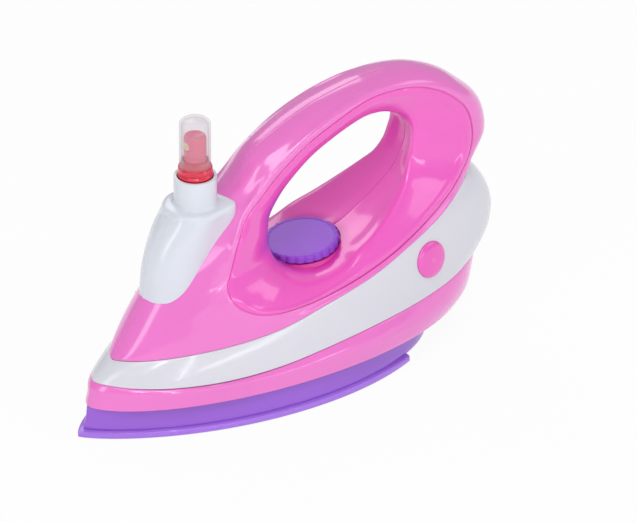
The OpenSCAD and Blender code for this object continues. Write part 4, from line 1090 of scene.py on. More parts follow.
    def button_place(self) -> Matrix:
        """Where the press button stands on the band, with its own Z pointing out.

        Returns:
            The button's place in metres.
        """
        at = lambda a, v: self.band_surface(np.array([a]), np.array([v]))[0]
        angle, share = self.button_angle, self.button_share
        along = at(angle + 1, share) - at(angle - 1, share)
        up = at(angle, self.button_beside[1]) - at(angle, self.button_beside[0])
        n = unit(np.cross(up, along))
        n = n if n[1] > 0 else -n
        n = Vector((-n[0], n[1], n[2]))
        round_z = Matrix.Rotation(math.atan2(n.y, n.x), 4, "Z")
        lean = Matrix.Rotation(math.acos(n.z), 4, "Y")
        return Matrix.Translation(Vector(self.world(at(angle, share)))) @ round_z @ lean


@dataclass
class Housing:
    """Skirt, white band, outer shells and grip lining."""

    form: BodyForm = field(default_factory=BodyForm)
    rows: int = 336
    across: int = 40
    parting: float = 0.11
    lip_height: float = 0.85
    lip_width: float = 6.5
    dish: float = 0.3
    roll_height: float = 0.9
    roll_back: float = 3.0
    roll_width: float = 1.9
    well_diameter: float = 34.4
    well_reach: tuple = (-18, 12)
    button_hole: float = 16.6
    band_steps: int = 28
    skirt_steps: int = 30
    smooth: float = 38

    def along(self, row: float, places: Sequence, values: Sequence) -> float:
        """A value that changes round the loops, at a row's share of the ring."""
        return np.interp(row * self.form.stations, places, values)

    def halves(self, left: bpy.types.Object, name: str, finish: Finish, *nodes: str) -> None:
        """Mirrors a left half and dresses both.

        Args:
            left: the left half.
            name: name of the right half.
            finish: finish of both.
            nodes: the nodes they stand for.
        """
        for piece, node in zip((left, Form.mirrored(left, name)), nodes):
            Form.settle(piece, self.smooth)
            dress(piece, finish, "housing", node)

    def ridge(self, inner: Grid, outer: Grid, row: float) -> Grid:
        """How far the lining stands out: a soft lip beside the groove and a shallow dish.

        Args:
            inner: distances from the opening in millimetres.
            outer: distances from the groove in millimetres.
            row: the row's share of the ring.

        Returns:
            Millimetres outwards.
        """
        lip = np.clip(outer / self.lip_width, 0, 1)
        share = np.clip(inner / np.maximum(inner + outer, 1e-6), 0, 1)
        window = self.along(row, [2.5, 4.5, 14.5, 16.5], [0.35, 1.0, 1.0, 0.35])
        swell = self.lip_height * window * np.sin(np.pi * lip) ** 2
        return swell - self.dish * np.sin(np.pi * np.clip(share * 1.25, 0, 1)) ** 2

    def roll(self, inner: Grid, outer: Grid, row: float) -> Grid:
        """How far the shell rolls out beside the groove, along the front pillar of the handle.

        Args:
            inner: distances from the groove in millimetres.
            outer: distances from the far edge in millimetres, which it doesn't use.
            row: the row's share of the ring.

        Returns:
            Millimetres outwards.
        """
        window = self.along(row, [18.5, 21.5, 26.6, 28.0], [0.0, 1.0, 1.0, 0.0])
        away = (inner - self.roll_back) / self.roll_width
        return self.roll_height * window * np.exp(-away ** 2)

    def shells(self) -> None:
        """Both outer shells, from the groove to the band and the crest."""
        grid = self.form.casing(self.rows, self.across)
        wall = Wall(0.9, 0.35, 0.22, self.across, start_gap=self.form.groove / 2)
        parts = wall.sections(grid, self.roll)
        parts[..., 1] = np.clip(parts[..., 1], 0, None)
        left = Form.ring("shell_left", self.form.world(parts))
        self.halves(left, "shell_right", Finish.PINK_SHELL, "upper_shell_left",
                    "upper_shell_right")

    def liners(self, well: Matrix) -> None:
        """Both halves of the grip lining, with the well of the dial cut through them.

        Args:
            well: where the dial's top stands.
        """
        grid = self.form.lining(self.rows, self.across)
        wall = Wall(1.4, 0.18, 0.4, self.across, end_gap=self.form.groove / 2, tongue=1.1)
        parts = wall.sections(grid, self.ridge)
        parts[..., 1] = np.clip(parts[..., 1], self.parting, None)
        left = Form.ring("liner_left", self.form.world(parts))
        Form.cut(left, Form.rod("well_tool", self.well_diameter / 2, *self.well_reach, well))
        self.halves(left, "liner_right", Finish.PINK_LINER, "grip_liner_left", "grip_liner_right")

    def white_band(self) -> None:
        """The white band round the body, with the hole of the button."""
        grid = self.form.round_grid(self.form.band_surface, self.band_steps)
        parts = Wall(1.6, 0.3, 0.35, self.band_steps).sections(grid)
        made = Form.ring("band_ring", self.form.world(parts))
        tool = Form.rod("hole_tool", self.button_hole / 2, -9, 9, self.form.button_place())
        Form.settle(Form.cut(made, tool), self.smooth)
        dress(made, Finish.WHITE_BAND, "housing", "white_band")

    def skirt(self) -> None:
        """The pink skirt between the tray and the white band."""
        grid = self.form.round_grid(self.form.skirt_surface, self.skirt_steps)
        parts = Wall(1.6, 0.9, 0.9, self.skirt_steps, arc=4).sections(grid)
        made = Form.settle(Form.ring("skirt_ring", self.form.world(parts)), self.smooth)
        dress(made, Finish.PINK_SKIRT, "housing", "lower_skirt")

    def build(self, well: Matrix) -> None:
        """Makes all of the moulded body.

        Args:
            well: where the dial's top stands.
        """
        self.skirt()
        self.white_band()
        self.shells()
        self.liners(well)


@dataclass
class Sole:
    """Sole plate, tray, battery door and the screws that hold them."""

    form: BodyForm = field(default_factory=BodyForm)
    cut_back: float = 155.0
    bay_front: float = 21.25
    bay_length: float = 54.5
    bay_half: float = 14.8
    door_front: float = 27.25
    door_back: float = -44.25
    door_half: float = 16.3
    door_gap: float = 0.3
    door_screw_in: float = 5.5
    screw_places: tuple = ((33, 0), (80, 26), (80, -26), (148, 22.5), (148, -22.5))
    slot_back: float = 164.5
    slot_half: float = 0.8
    slot_reach: float = 6
    slot_pitch: float = 3.6
    slot_lean: float = 20

    def rim(self, name: str, plan: Plan, profile: Sequence) -> bpy.types.Object:
        """A flat solid on a plan outline, whose edge follows a profile of inset and height.

        Args:
            name: object name.
            plan: the outline seen from above.
            profile: pairs of inset and height, from the underside round to the top.

        Returns:
            The linked object.
        """
        a, side = self.form.round_columns()
        rows = []
        for inset, z in profile:
            p = self.form.on_plan(plan, a, z + 0 * a, inset)
            p[:, 1] *= side
            rows.append(p)
        wall = np.stack(rows, 1)
        n, m = wall.shape[:2]
        at = lambda i, j: (i % n) * m + j
        faces = [[at(i, j), at(i, j + 1), at(i + 1, j + 1), at(i + 1, j)]
                 for i in range(n) for j in range(m - 1)]
        faces += [[at(i, 0) for i in range(n)], [at(i, m - 1) for i in range(n)][::-1]]
        return Form.from_faces(name, self.form.world(wall), faces)

    @staticmethod
    def slab(name: str, x0: float, x1: float, half: float) -> bpy.types.Object:
        """A cutting block between two places along the toy, in world millimetres."""
        return Form.prism(name, np.array([[x0, -half], [x1, -half], [x1, half], [x0, half]]), -1, 9)

    @staticmethod
    def recess(x: float, y: float, head: float, depth: float, shaft: float) -> bpy.types.Object:
        """A cutting tool for the head and the shaft of a screw, at a place on the sole."""
        outline = [(CORE, -1), (head, -1), (head, depth), (shaft, depth), (shaft, 9), (CORE, 9)]
        return Form.turned("screw_tool", outline, stand(x, y), 48)

    def lip(self) -> None:
        """The sole plate, with its straight back edge, door opening and screw recesses."""
        made = self.rim("sole_plate", self.form.sole, (
            (0.6, 0.0), (0.25, 0.12), (0.0, 0.6), (0.0, 2.2), (0.12, 2.6), (0.4, 2.9), (0.8, 3.0)))
        edge = self.form.length / 2 - self.cut_back
        tools = [self.slab("back_tool", edge - 90, edge, 60), self.slab(
            "door_tool", self.door_back, self.door_front, self.door_half)]
        tools += [self.recess(self.form.length / 2 - back, side, 2.9, 1.9, 1.6)
                  for back, side in self.screw_places]
        Form.settle(Form.cut(made, *tools))
        dress(made, Finish.PURPLE_SOLE, "housing", "soleplate")

    def tray(self) -> None:
        """The tray: a rounded outer wall and a floor with sound slots."""
        made = self.rim("tray_wall", self.form.tray, (
            (0.5, 3.0), (0.12, 3.12), (0.0, 3.5), (0.03, 4.3), (0.14, 5.2), (0.34, 6.2),
            (0.6, 7.3), (0.86, 8.6), (1.06, 10.2), (1.18, 12.0), (1.25, 13.2), (1.5, 13.5),
            (2.5, 13.5), (2.5, 5.5)))
        tools = [self.slab("bay_tool", self.bay_front - self.bay_length, self.bay_front,
                           self.bay_half)]
        x = self.form.length / 2 - self.slot_back
        for k in range(-2, 3):
            reach = self.slot_reach * math.cos(math.radians(self.slot_lean * k))
            ends = [(x + s * reach + self.slot_half * math.cos(t),
                     k * self.slot_pitch + self.slot_half * math.sin(t))
                    for s, t0 in ((1, -math.pi / 2), (-1, math.pi / 2))
                    for t in np.linspace(t0, t0 + math.pi, 9)]
            tools.append(Form.prism("slot_tool", np.array(ends), 1, 9))
        Form.settle(Form.cut(made, *tools))
        dress(made, Finish.PURPLE_TRAY, "housing", "base_tray")

    def door(self) -> None:
        """The battery door with rounded edges and its screw hole."""
        x0, x1 = self.door_back + self.door_gap, self.door_front - self.door_gap
        y = self.door_half - self.door_gap
        made = Form.prism("door_plate", np.array([[x0, -y], [x1, -y], [x1, y], [x0, y]]), 0.4, 2.7)
        Form.bevel(made, 0.35)
        Form.settle(made)
        tool = self.recess(self.door_back + self.door_screw_in, 0, 2.75, 1.5, 1.45)
        Form.settle(Form.cut(made, tool))
        dress(made, Finish.PURPLE_DOOR, "door", "battery_door")

    def build(self) -> None:
        """Makes the sole, the tray and the door."""
        self.tray()
        self.lip()
        self.door()


# ---------------------------------------------------------------- the sprayer


@dataclass
class Hood:
    """The white hood with its round neck, which sits on the nose."""

    form: BodyForm = field(default_factory=BodyForm)
    axis: float = 62.3
    top: float = 97.0
    neck: float = 18.8
    neck_height: float = 13.5
    lip: float = 7.95
    bore: float = 16.1
    edge_radius: float = 2.6
    foot_radius: float = 1.6
    steps: int = 8
    row_steps: int = 12
    nose_stations: tuple = (24, 29)
    nose_steps: int = 24
    base_line: Table = Table([[0.16, 0], [0.1665, 0.13], [0.182, 0.24], [0.198, 0.299],
                              [0.219, 0.336], [0.242, 0.344], [0.264, 0.338], [0.297, 0.323],
                              [0.332, 0.315], [0.348, 0.29], [0.3555, 0.23], [0.352, 0.15],
                              [0.347, 0.075], [0.343, 0]])
    top_line: Table = Table([[0.2205, 0], [0.2212, 0.074], [0.2245, 0.148], [0.2325, 0.223],
                             [0.2465, 0.299], [0.259, 0.341], [0.275, 0.359], [0.3, 0.345],
                             [0.328, 0.315], [0.347, 0.285], [0.3555, 0.228], [0.352, 0.15],
                             [0.347, 0.075], [0.343, 0]])

    def nose_tree(self) -> BVHTree:
        """The part of the outer shell under the hood, for finding its height."""
        count = self.form.stations * self.row_steps
        first, last = (k * self.row_steps for k in self.nose_stations)
        grid = self.form.casing(count, self.nose_steps)
        part = grid[np.arange(first, last + 1) % count]
        n, m = part.shape[:2]
        faces = [[i * m + j, i * m + j + 1, (i + 1) * m + j + 1, (i + 1) * m + j]
                 for i in range(n - 1) for j in range(m - 1)]
        return BVHTree.FromPolygons([tuple(p) for p in part.reshape(-1, 3)], faces)

    def place(self, table: Table, u: float) -> Grid:
        """A place on one of the two lines of the hood.

        Args:
            table: one of the two lines.
            u: column, counted in listed places.

        Returns:
            The distance back and the distance sideways.
        """
        s = table.smooth(np.array(u))
        return np.array([self.form.length * s[0], max(self.form.width / 2 * s[1], 0.0)])

    def section(self, tree: BVHTree, u: float) -> Grid:
        """One closed section of the hood wall, from the base round to the inside.

        Args:
            tree: the shell under the hood.
            u: column, counted in listed places.

        Returns:
            Places in the nose frame.
        """
        base, top = self.place(self.base_line, u), self.place(self.top_line, u)
        axis = np.array([self.axis, 0.0])
        rt = float(np.linalg.norm(top - axis))
        out = (top - axis) / rt
        hit = tree.ray_cast(Vector((base[0], max(base[1], 0.02), 300)), Vector((0, 0, -1)))[0]
        low = (hit.z if hit is not None else self.top) + 0.1
        neck = self.neck / 2
        room = rt - neck
        edge = min(self.edge_radius, 0.45 * room)
        foot = min(self.foot_radius, 0.4 * room)
        crown = max(self.top, low + 0.6)
        side_top = max(crown - self.edge_radius, (low + crown) / 2)
        line = Table([[0, 0], [0.12, 0.38], [0.5, 0.76], [1, 1]]).smooth(np.linspace(0, 3, 13))
        made = [np.append(base * (1 - a) + top * a, low * (1 - b) + side_top * b) for a, b in line]
        polar = lambda r, z: np.append(axis + out * r, z)
        for t in np.radians(np.linspace(0, 90, 7)[1:]):
            made.append(polar(rt - edge * (1 - math.cos(t)),
                              side_top + (crown - side_top) * math.sin(t)))
        for t in np.radians(np.linspace(0, 90, 6)):
            made.append(polar(neck + foot * (1 - math.sin(t)),
                              self.top + foot * (1 - math.cos(t))))
        rim = self.top + self.neck_height
        inner = self.bore / 2
        made += [polar(neck, self.top + 5), polar(neck, rim - 0.5), polar(neck - 0.15, rim - 0.15),
                 polar(neck - 0.5, rim), polar(self.lip + 0.3, rim), polar(self.lip, rim - 0.3),
                 polar(self.lip, rim - 1.5), polar(inner, rim - 1.9), polar(inner, self.top - 1.8)]
        low_in = min(low, self.top - 2.4)
        made += [polar(max(rt - 1.8, inner + 0.4), max(low_in + 0.2, side_top - 1.0)),
                 np.append(base + (axis - base) / max(np.linalg.norm(axis - base), 1e-6), low)]
        return np.array(made)

    def build(self) -> None:
        """Makes the hood."""
        tree = self.nose_tree()
        u = np.arange((len(self.base_line.rows) - 1) * self.steps + 1) / self.steps
        half = np.array([self.section(tree, float(k)) for k in u])
        other = half[-2:0:-1] * np.array([1, -1, 1])
        made = Form.ring("hood_shell", self.form.world(np.concatenate([half, other])))
        Form.settle(made, 40)
        dress(made, Finish.WHITE_HOOD, "housing", "spray_hood")


@dataclass
class Sprayer:
    """Red collar, spray head, nozzle tip and clear cap, all on the pump axis."""

    axis_x: float = 45.95
    rim: float = 110.5
    collar_top: float = 115.1
    head_top: float = 130.1
    cap_top: float = 137.9
    nozzle_z: float = 125.7

    def place(self) -> Matrix:
        """Where the pump axis stands."""
        return stand(self.axis_x)

    def collar(self) -> None:
        """The screw collar: a rolled foot, a waist and a lip that grips the cap."""
        z, t = self.rim, self.collar_top
        profile = [(6.3, 97), (7.3, 97), (7.35, z + 0.1), (7.6, z + 0.15), (7.75, z + 0.4),
                   (7.75, z + 1.0), (7.6, z + 1.3), (7.3, z + 1.5), (7.15, z + 1.8), (7.2, z + 2.1),
                   (7.45, z + 2.35), (7.55, z + 2.7), (7.5, t - 0.6), (7.4, t - 0.2), (7.2, t),
                   (6.1, t), (6.1, t + 3.0), (5.9, t + 3.2), (5.45, t + 3.2), (5.3, t + 3.0),
                   (5.3, z + 0.1), (1.65, z + 0.1), (1.65, z - 1.3), (6.3, z - 1.3)]
        made = Form.settle(Form.turned("screw_collar", profile, self.place()), 50)
        dress(made, Finish.RED_COLLAR, "housing", "pump_collar")

    def head(self) -> None:
        """The spray head with a dished top, a flat face round the nozzle and its stem."""
        h, z = self.head_top, self.rim
        profile = [(CORE, z - 14), (1.6, z - 14), (1.6, z + 5), (4.6, z + 5), (4.95, z + 5.3),
                   (5, z + 5.8), (5, z + 9.2), (4.6, z + 9.5), (4.6, z + 10.3), (4.95, z + 10.6),
                   (4.95, h - 1.2), (4.75, h - 0.6),
                   (4.3, h - 0.1), (3.8, h), (3.3, h - 0.2), (2.2, h - 0.65), (CORE, h - 0.8)]
        made = Form.turned("spray_head", profile, self.place(), 96)
        Form.settle(made, 45)
        bore = stand(self.axis_x, 0, self.nozzle_z) @ Matrix.Rotation(math.pi / 2, 4, "Y")
        Form.settle(Form.cut(made, Form.rod("bore_tool", 2.0, 3.4, 9, bore, 48)), 45)
        dress(made, Finish.ROSE_HEAD, "spray_head", "spray_actuator")
        tip = [(0.3, 3.4), (2.0, 3.4), (2.0, 4.6), (1.8, 4.8), (1.2, 4.8), (0.9, 4.5), (0.3, 4.3)]
        made = Form.settle(Form.turned("nozzle_tip", tip, bore, 48), 45)
        dress(made, Finish.CREAM_NOZZLE, "spray_head", "nozzle_insert")

    def cap(self) -> None:
        """The clear cap: a thin cup with a rounded crown and a beaded rim."""
        t, c = self.cap_top, self.collar_top
        profile = [(6.2, c + 0.06), (6.85, c + 0.06), (7.0, c + 0.2), (7.0, c + 0.7),
                   (6.9, c + 0.9), (6.95, t - 2.6), (6.85, t - 1.9), (6.55, t - 1.35),
                   (6.0, t - 0.85), (5.2, t - 0.45), (4.2, t - 0.18), (3.0, t - 0.04),
                   (1.6, t), (CORE, t), (CORE, t - 0.8), (2.6, t - 0.8), (4.2, t - 1.0),
                   (5.3, t - 1.6), (6.0, t - 2.4), (6.15, t - 3.2)]
        made = Form.settle(Form.turned("mist_cap", profile, self.place()), 50)
        dress(made, Finish.CLEAR_CAP, "cap", "clear_cap")

    def build(self) -> None:
        """Makes everything on the pump axis that shows."""
        self.collar()
        self.head()
        self.cap()


# ---------------------------------------------------------------- shapes that follow a rule


class Rule:
    """A geometry tree with named inputs, run once on an object."""

    def __init__(self, name: str, numbers: dict, vectors: Optional[dict] = None) -> None:
        """Makes the tree and its inputs.

        Args:
            name: tree name.
            numbers: plain inputs and their values.
            vectors: vector inputs and their values.
        """
        self.tree = bpy.data.node_groups.new(name, "GeometryNodeTree")
        face = self.tree.interface
        face.new_socket("Geometry", in_out="INPUT", socket_type="NodeSocketGeometry")
        face.new_socket("Geometry", in_out="OUTPUT", socket_type="NodeSocketGeometry")
        self.given = {**numbers, **(vectors or {})}
        self.keys = {}
        for key, value in self.given.items():
            kind = "NodeSocketVector" if isinstance(value, tuple) else (
                "NodeSocketInt" if isinstance(value, int) else "NodeSocketFloat")
            self.keys[key] = face.new_socket(key, in_out="INPUT", socket_type=kind).identifier
        self.graph = Graph(self.tree)
        self.inputs = self.graph.node("NodeGroupInput")

    def lifted(self, part: Wire, height: "Value") -> Wire:
        """A part of the tree's geometry, moved up."""
        return self.graph.node("GeometryNodeTransform", {
            "Geometry": part, "Translation": self.graph.vector(Z=height)})["Geometry"]

    def end(self, geometry: Wire, finish: Finish) -> None:
        """Closes the tree with real geometry and its material.

        Args:
            geometry: what the tree has made.
            finish: its finish.
        """
        real = self.graph.node("GeometryNodeRealizeInstances", {"Geometry": geometry})["Geometry"]
        dressed = self.graph.node("GeometryNodeSetMaterial", {
            "Geometry": real, "Material": finish.material()})["Geometry"]
        self.graph.node("NodeGroupOutput", {"Geometry": dressed})

    def run(self, made: bpy.types.Object, place: Matrix, smooth: float = 35) -> bpy.types.Object:
        """Runs the tree on an object and keeps the result as its plain mesh.

        Args:
            made: the object that gives the places.
            place: where the result stands.
            smooth: angle up to which the result is shaded smooth, in degrees.

        Returns:
            The same object with its new mesh.
        """
        mod = made.modifiers.new("rule", "NODES")
        mod.node_group = self.tree
        for key, value in self.given.items():
            mod[self.keys[key]] = value
        Form.settle(made, smooth)
        made.data.transform(place)
        return made


def point_object(name: str, points: Iterable) -> bpy.types.Object:
    """A linked object that has only vertices, in metres.

    Args:
        name: object name.
        points: places in metres.

    Returns:
        The linked object.
    """
    mesh = bpy.data.meshes.new(name)
    mesh.from_pydata([tuple(p) for p in points], [], [])
    return linked(name, mesh)


@dataclass
class Dial:
    """The scalloped dial on its leaning spindle and the well that it turns in."""

    axis_x: float = -9.75
    top: float = 61.2
    lean: float = 6.0
    diameter: float = 33.0
    thickness: float = 3.2
    scallops: int = 24
    scallop_depth: float = 0.55
    edge: float = 0.6
    edge_steps: int = 14
    dish: float = 0.25
    seat_gap: float = 1.1

    def place(self) -> Matrix:
        """Where the middle of the dial's top stands, with Z along the spindle."""
        return stand(self.axis_x, 0, self.top) @ Matrix.Rotation(
            math.radians(self.lean), 4, "Y")

    def disc(self) -> None:
        """The dial disc: its edge follows a scallop rule round the circle."""
        rule = Rule("dial_rule", {
            "Radius": self.diameter / 2 * MM, "Thickness": self.thickness * MM,
            "Scallops": self.scallops, "Scallop Depth": self.scallop_depth * MM,
            "Edge": self.edge * MM, "Dish": self.dish * MM})
        g, given = rule.graph, rule.inputs
        edge, thick = given["Edge"], given["Thickness"]
        circle = g.node("GeometryNodeMeshCircle", {
            "Vertices": given["Scallops"] * self.edge_steps, "Radius": given["Radius"]},
            fill_type="NGON")["Mesh"]
        at = g.node("ShaderNodeSeparateXYZ", {0: g.node("GeometryNodeInputPosition")[0]})
        angle = g.node("ShaderNodeMath", {0: at["Y"], 1: at["X"]}, operation="ARCTAN2")["Value"]
        dip = (1 - (angle * given["Scallops"] * 0.5).sine().size()) * given["Scallop Depth"] * -1.0
        offset = g.vector(X=angle.cosine() * dip, Y=angle.sine() * dip)
        flower = g.node("GeometryNodeSetPosition", {
            "Geometry": circle, "Offset": offset})["Geometry"]
        low = rule.lifted(flower, thick * -1.0)
        bottom = g.node("GeometryNodeFlipFaces", {"Mesh": low})["Mesh"]
        mesh, top = low, None
        up, radius = g.vector(Z=1.0), given["Radius"]
        steps = [(thick - edge, 1.0), (edge * 0.45, 1 - edge * 0.12 / radius),
                 (edge * 0.33, 1 - edge * 0.33 / radius), (edge * 0.22, 1 - edge * 0.6 / radius),
                 (edge * 0.0, 1 - edge * 1.6 / radius),
                 (given["Dish"] * -1.0, 1 - edge * 0.7 / radius)]
        for rise, scale in steps:
            picked = {"Selection": top} if top is not None else {}
            drawn = g.node("GeometryNodeExtrudeMesh", {
                "Mesh": mesh, "Offset": up, "Offset Scale": rise, "Individual": False, **picked},
                mode="FACES")
            top = drawn["Top"]
            mesh = g.node("GeometryNodeScaleElements", {
                "Geometry": drawn["Mesh"], "Selection": top, "Scale": scale},
                domain="FACE")["Geometry"]
        both = g.node("GeometryNodeJoinGeometry", {0: [mesh, bottom]})["Geometry"]
        closed = g.node("GeometryNodeMergeByDistance", {
            "Geometry": both, "Distance": 1e-6})["Geometry"]
        rule.end(closed, Finish.PURPLE_DIAL)
        made = rule.run(point_object("dial_disc", [(0, 0, 0)]), self.place(), 30)
        shaft = Form.rod("dial_shaft", 2.5, -15.0, -self.thickness, self.place(), 48)
        Form.settle(shaft)
        dress(made, Finish.PURPLE_DIAL, "dial", "scalloped_dial")
        dress(shaft, Finish.PURPLE_DIAL, "dial")

    def well(self) -> None:
        """The well under the dial: a floor with a rolled lip and a bore for the spindle."""
        r = self.diameter / 2 + self.seat_gap
        profile = [(2.55, -12.5), (5, -12.5), (5, -5.9), (r - 1.8, -5.7), (r - 1.8, -14.3),
                   (r - 0.05, -14.3), (r - 0.05, -3.8), (r - 0.2, -3.55), (r - 0.6, -3.5),
                   (r - 1.2, -3.7), (r - 1.6, -3.9), (2.55, -3.9)]
        made = Form.settle(Form.turned("dial_well", profile, self.place()), 40)
        # the well's deep magenta is painted shade for the recess under the dial
        dress(made, Finish.DEEP_PINK_WELL, "housing", "dial_seat")

    def build(self) -> None:
        """Makes the dial and its well."""
        self.disc()
        self.well()


@dataclass
class Button:
    """The domed press button on the white band."""

    diameter: float = 16.4
    rise: float = 1.8

    def build(self, place: Matrix) -> None:
        """Makes the button with its flange and stem.

        Args:
            place: where the button stands, with Z pointing out.
        """
        r, h = self.diameter / 2, self.rise
        dome = [(r * math.cos(t), 0.25 + (h - 0.25) * math.sin(t))
                for t in np.radians(np.linspace(0, 90, 15)[:-1])]
        profile = [(CORE, -8), (2.5, -8), (2.5, -4.8), (r + 1.4, -4.8), (r + 1.4, -3.4), (r, -3.4),
                   (r, 0.0)] + dome + [(CORE, h)]
        made = Form.settle(Form.turned("press_button", profile, place), 40)
        dress(made, Finish.PINK_BUTTON, "button", "side_button")


@dataclass
class Screws:
    """Cross-recess screws, all of one rule, set at listed places."""

    head_diameter: float = 5.2
    head_height: float = 1.6
    shaft_diameter: float = 2.6
    slot_width: float = 0.75
    slot_depth: float = 0.9
    sole_shaft: float = 17.6
    joining_shaft: float = 13.0
    door_shaft: float = 6.2
    sole_seat: float = 0.3
    joining_seat: float = 1.8
    door_seat: float = 0.5
    joining_rows: tuple = ((0, 3), (71, 2), (41, 2))

    def rule(self, name: str, shaft: float, turn: tuple) -> Rule:
        """A tree that puts one screw on every vertex.

        Args:
            name: tree name.
            shaft: length of the shaft in millimetres.
            turn: rotation that takes the screw's up to its facing.

        Returns:
            The rule, ready to run.
        """
        rule = Rule(name, {
            "Head Radius": self.head_diameter / 2 * MM, "Head Height": self.head_height * MM,
            "Shaft Radius": self.shaft_diameter / 2 * MM, "Shaft Length": shaft * MM,
            "Slot Width": self.slot_width * MM, "Slot Depth": self.slot_depth * MM},
            {"Turn": turn})
        g, given = rule.graph, rule.inputs
        head_radius, height = given["Head Radius"], given["Head Height"]
        head = g.node("GeometryNodeMeshCylinder", {
            "Vertices": 40, "Radius": head_radius, "Depth": height * 0.75})["Mesh"]
        crown = g.node("GeometryNodeMeshCone", {
            "Vertices": 40, "Radius Top": head_radius * 0.82, "Radius Bottom": head_radius,
            "Depth": height * 0.25})["Mesh"]
        stem = g.node("GeometryNodeMeshCylinder", {
            "Vertices": 32, "Radius": given["Shaft Radius"],
            "Depth": given["Shaft Length"]})["Mesh"]
        solids = [rule.lifted(head, height * -0.625), rule.lifted(crown, height * -0.25),
                  rule.lifted(stem, (height * 0.9 + given["Shaft Length"] * 0.5) * -1.0)]
        arm, width, deep = head_radius * 1.3, given["Slot Width"], given["Slot Depth"] * 2.0
        bars = [g.node("GeometryNodeMeshCube", {"Size": g.vector(X=a, Y=b, Z=deep)})["Mesh"]
                for a, b in ((arm, width), (width, arm))]
        whole = g.node("GeometryNodeMeshBoolean", {"Mesh 2": solids},
                       operation="UNION")["Mesh"]
        cut = g.node("GeometryNodeMeshBoolean", {"Mesh 1": whole, "Mesh 2": bars},
                     operation="DIFFERENCE")["Mesh"]
        placed = g.node("GeometryNodeInstanceOnPoints", {
            "Points": given["Geometry"], "Instance": cut, "Rotation": given["Turn"]})["Instances"]
        rule.end(placed, Finish.STEEL)
        return rule

    def build(self, form: BodyForm, sole: Sole) -> None:
        """Makes the sole screws, the joining screws and the door screw.

        Args:
            form: the body that the joining screws hold.
            sole: the sole that lists the other screws' places.
        """
        sole_spots = [((form.length / 2 - b) * MM, s * MM, self.sole_seat * MM)
                      for b, s in sole.screw_places]
        grid = form.casing(3 * form.stations, form.columns)
        joining_spots = []
        for row, step in self.joining_rows:
            x, y, z = form.world(grid[row, step])
            joining_spots.append((x, -(y - self.joining_seat * MM), z))
        door_spots = [((sole.door_back + sole.door_screw_in) * MM, 0.0, self.door_seat * MM)]
        down, inward = (math.pi, 0.0, 0.0), (math.pi / 2, 0.0, 0.0)
        for name, spots, shaft, turn, body, node in (
                ("sole_screw_set", sole_spots, self.sole_shaft, down, "housing", "sole_screws"),
                ("joining_screw_set", joining_spots, self.joining_shaft, inward, "housing",
                 "housing_screws"),
                ("door_screw_piece", door_spots, self.door_shaft, down, "door_fastener",
                 "door_screw")):
            made = self.rule(f"{name}_rule", shaft, turn).run(
                point_object(name, spots), Matrix.Identity(4))
            dress(made, Finish.STEEL, body, node)


# ---------------------------------------------------------------- inner parts and the room


INNER_FINISHES = {
    "chassis_plate": Finish.DEEP_PINK_WELL, "water_tank": Finish.CLEAR_TANK,
    "pump_cylinder": Finish.MILKY_PUMP, "pump_gasket": Finish.RUBBER,
    "dip_tube": Finish.MILKY_PUMP, "pump_spring": Finish.SPRING_STEEL,
    "click_wheel": Finish.MILKY_PUMP, "click_spring": Finish.SPRING_STEEL,
    "button_spring": Finish.SPRING_STEEL, "push_switch": Finish.BLACK_SWITCH,
    "switch_mount": Finish.LILAC_BOX, "battery_box": Finish.LILAC_BOX,
    "battery_cells": Finish.GREEN_CELL, "battery_contacts": Finish.BRASS,
    "battery_springs": Finish.SPRING_STEEL, "circuit_board": Finish.GREEN_BOARD,
    "board_components": Finish.BLACK_CHIPS, "speaker": Finish.BLACK_CHIPS,
    "speaker_clamp": Finish.LILAC_BOX,
}


def dress_inner(nodes: dict) -> None:
    """Gives every node that stays shown its finish.

    Args:
        nodes: node objects by name.
    """
    for name, finish in INNER_FINISHES.items():
        node = nodes[name]
        node.data.materials.clear()
        node.data.materials.append(finish.material())
        LOG.info("%s keeps its own shape", name)


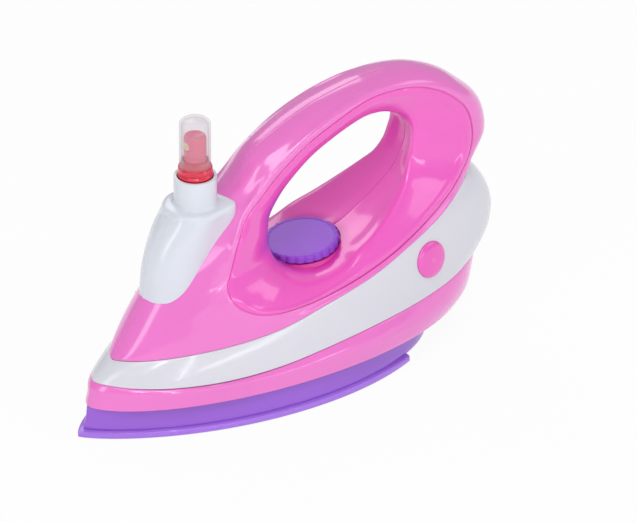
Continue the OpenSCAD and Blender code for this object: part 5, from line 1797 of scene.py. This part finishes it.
@dataclass
class Studio:
    """Pale floor, soft lamps and the camera at the photograph's angle."""

    turn: float = 35.0
    elevation: float = 30.0
    distance: float = 5.0
    scale: float = 2290.0
    aim: tuple = (-0.018814, -0.000227, 0.045592)
    frame_width: int = 636
    sensor: float = 36.0
    floor_size: float = 6.0
    floor_z: float = -0.0004
    lamp_aim: tuple = (0, 0, 0.06)
    surround: str = "F2F2F8"
    surround_strength: float = 0.5
    lamps: tuple = (
        ("key", (0.5, 0.7, 1.5), (0.9, 0.6), 6.2),
        ("side_strip", (-0.2, 1.3, 0.2), (1.0, 0.1), 1.6),
        ("window", (0.7, 1.0, 0.95), (0.15, 0.15), 0.9),
        ("left_strip", (1.2, 0.3, 0.6), (0.25, 1.1), 2.6),
        ("tall_strip", (0.38, 1.2, 0.85), (0.06, 1.7), 2.4),
        ("right_fill", (-1.3, 1.0, 0.9), (0.8, 0.8), 3.0),
        ("back_rim", (-0.3, -1.3, 1.1), (1.0, 0.5), 3.0))

    def back(self) -> Vector:
        """Direction from the toy to the camera."""
        a, e = math.radians(self.turn), math.radians(self.elevation)
        return Vector((math.sin(a) * math.cos(e), math.cos(a) * math.cos(e), math.sin(e)))

    def camera(self) -> None:
        """The camera, with the focal length that gives the photograph's scale."""
        data = bpy.data.cameras.new("camera")
        data.sensor_width = self.sensor
        data.lens = self.sensor * self.scale * self.distance / self.frame_width
        data.clip_start, data.clip_end = 0.1, 50
        made = linked("camera", data)
        made.location = Vector(self.aim) + self.back() * self.distance
        made.rotation_mode = "QUATERNION"
        made.rotation_quaternion = (-self.back()).to_track_quat("-Z", "Y")
        bpy.context.scene.camera = made

    def floor(self) -> None:
        """A wide sheet of paper just under the sole."""
        s, z = self.floor_size / 2, self.floor_z
        mesh = bpy.data.meshes.new("floor")
        mesh.from_pydata([(-s, -s, z), (s, -s, z), (s, s, z), (-s, s, z)], [], [(0, 1, 2, 3)])
        made = linked("floor", mesh)
        mesh.materials.append(Paper().build("paper"))

    def lamp(self, name: str, place: tuple, size: tuple, power: float) -> None:
        """One soft white rectangular lamp that looks at the toy.

        Args:
            name: lamp name.
            place: where it stands, in metres.
            size: its width and height in metres.
            power: its power in watts.
        """
        data = bpy.data.lights.new(name, "AREA")
        data.shape, data.size, data.size_y = "RECTANGLE", size[0], size[1]
        data.energy = power
        made = linked(name, data)
        made.location = place
        aim = Vector(self.lamp_aim) - Vector(place)
        made.rotation_mode = "QUATERNION"
        made.rotation_quaternion = aim.to_track_quat("-Z", "Y")

    def world(self) -> None:
        """An even pale surround, white where the camera sees it."""
        world = bpy.data.worlds.new("surround")
        bpy.context.scene.world = world
        world.use_nodes = True
        g = Graph(world.node_tree)
        path = g.node("ShaderNodeLightPath")
        soft = g.node("ShaderNodeBackground", {
            "Color": linear(self.surround), "Strength": self.surround_strength})
        white = g.node("ShaderNodeBackground", {"Color": (1, 1, 1, 1), "Strength": 1.0})
        mixed = g.node("ShaderNodeMixShader", {
            0: path["Is Camera Ray"], 1: soft["Background"], 2: white["Background"]})
        g.node("ShaderNodeOutputWorld", {"Surface": mixed["Shader"]})

    def build(self) -> None:
        """Sets up the whole room."""
        self.camera()
        self.world()
        self.floor()
        for lamp in self.lamps:
            self.lamp(*lamp)
        bpy.context.scene.view_settings.view_transform = "Standard"


def main() -> None:
    """Builds every piece in order."""
    logging.basicConfig(level=logging.INFO, format="%(name)s: %(message)s")
    Studio().build()
    form = BodyForm()
    dial = Dial()
    sole = Sole(form)
    sole.build()
    Housing(form).build(dial.place())
    Hood(form).build()
    Sprayer().build()
    dial.build()
    Button().build(form.button_place())
    Screws().build(form, sole)
    dress_inner(frame["nodes"])


if __name__ == "__main__":
    main()
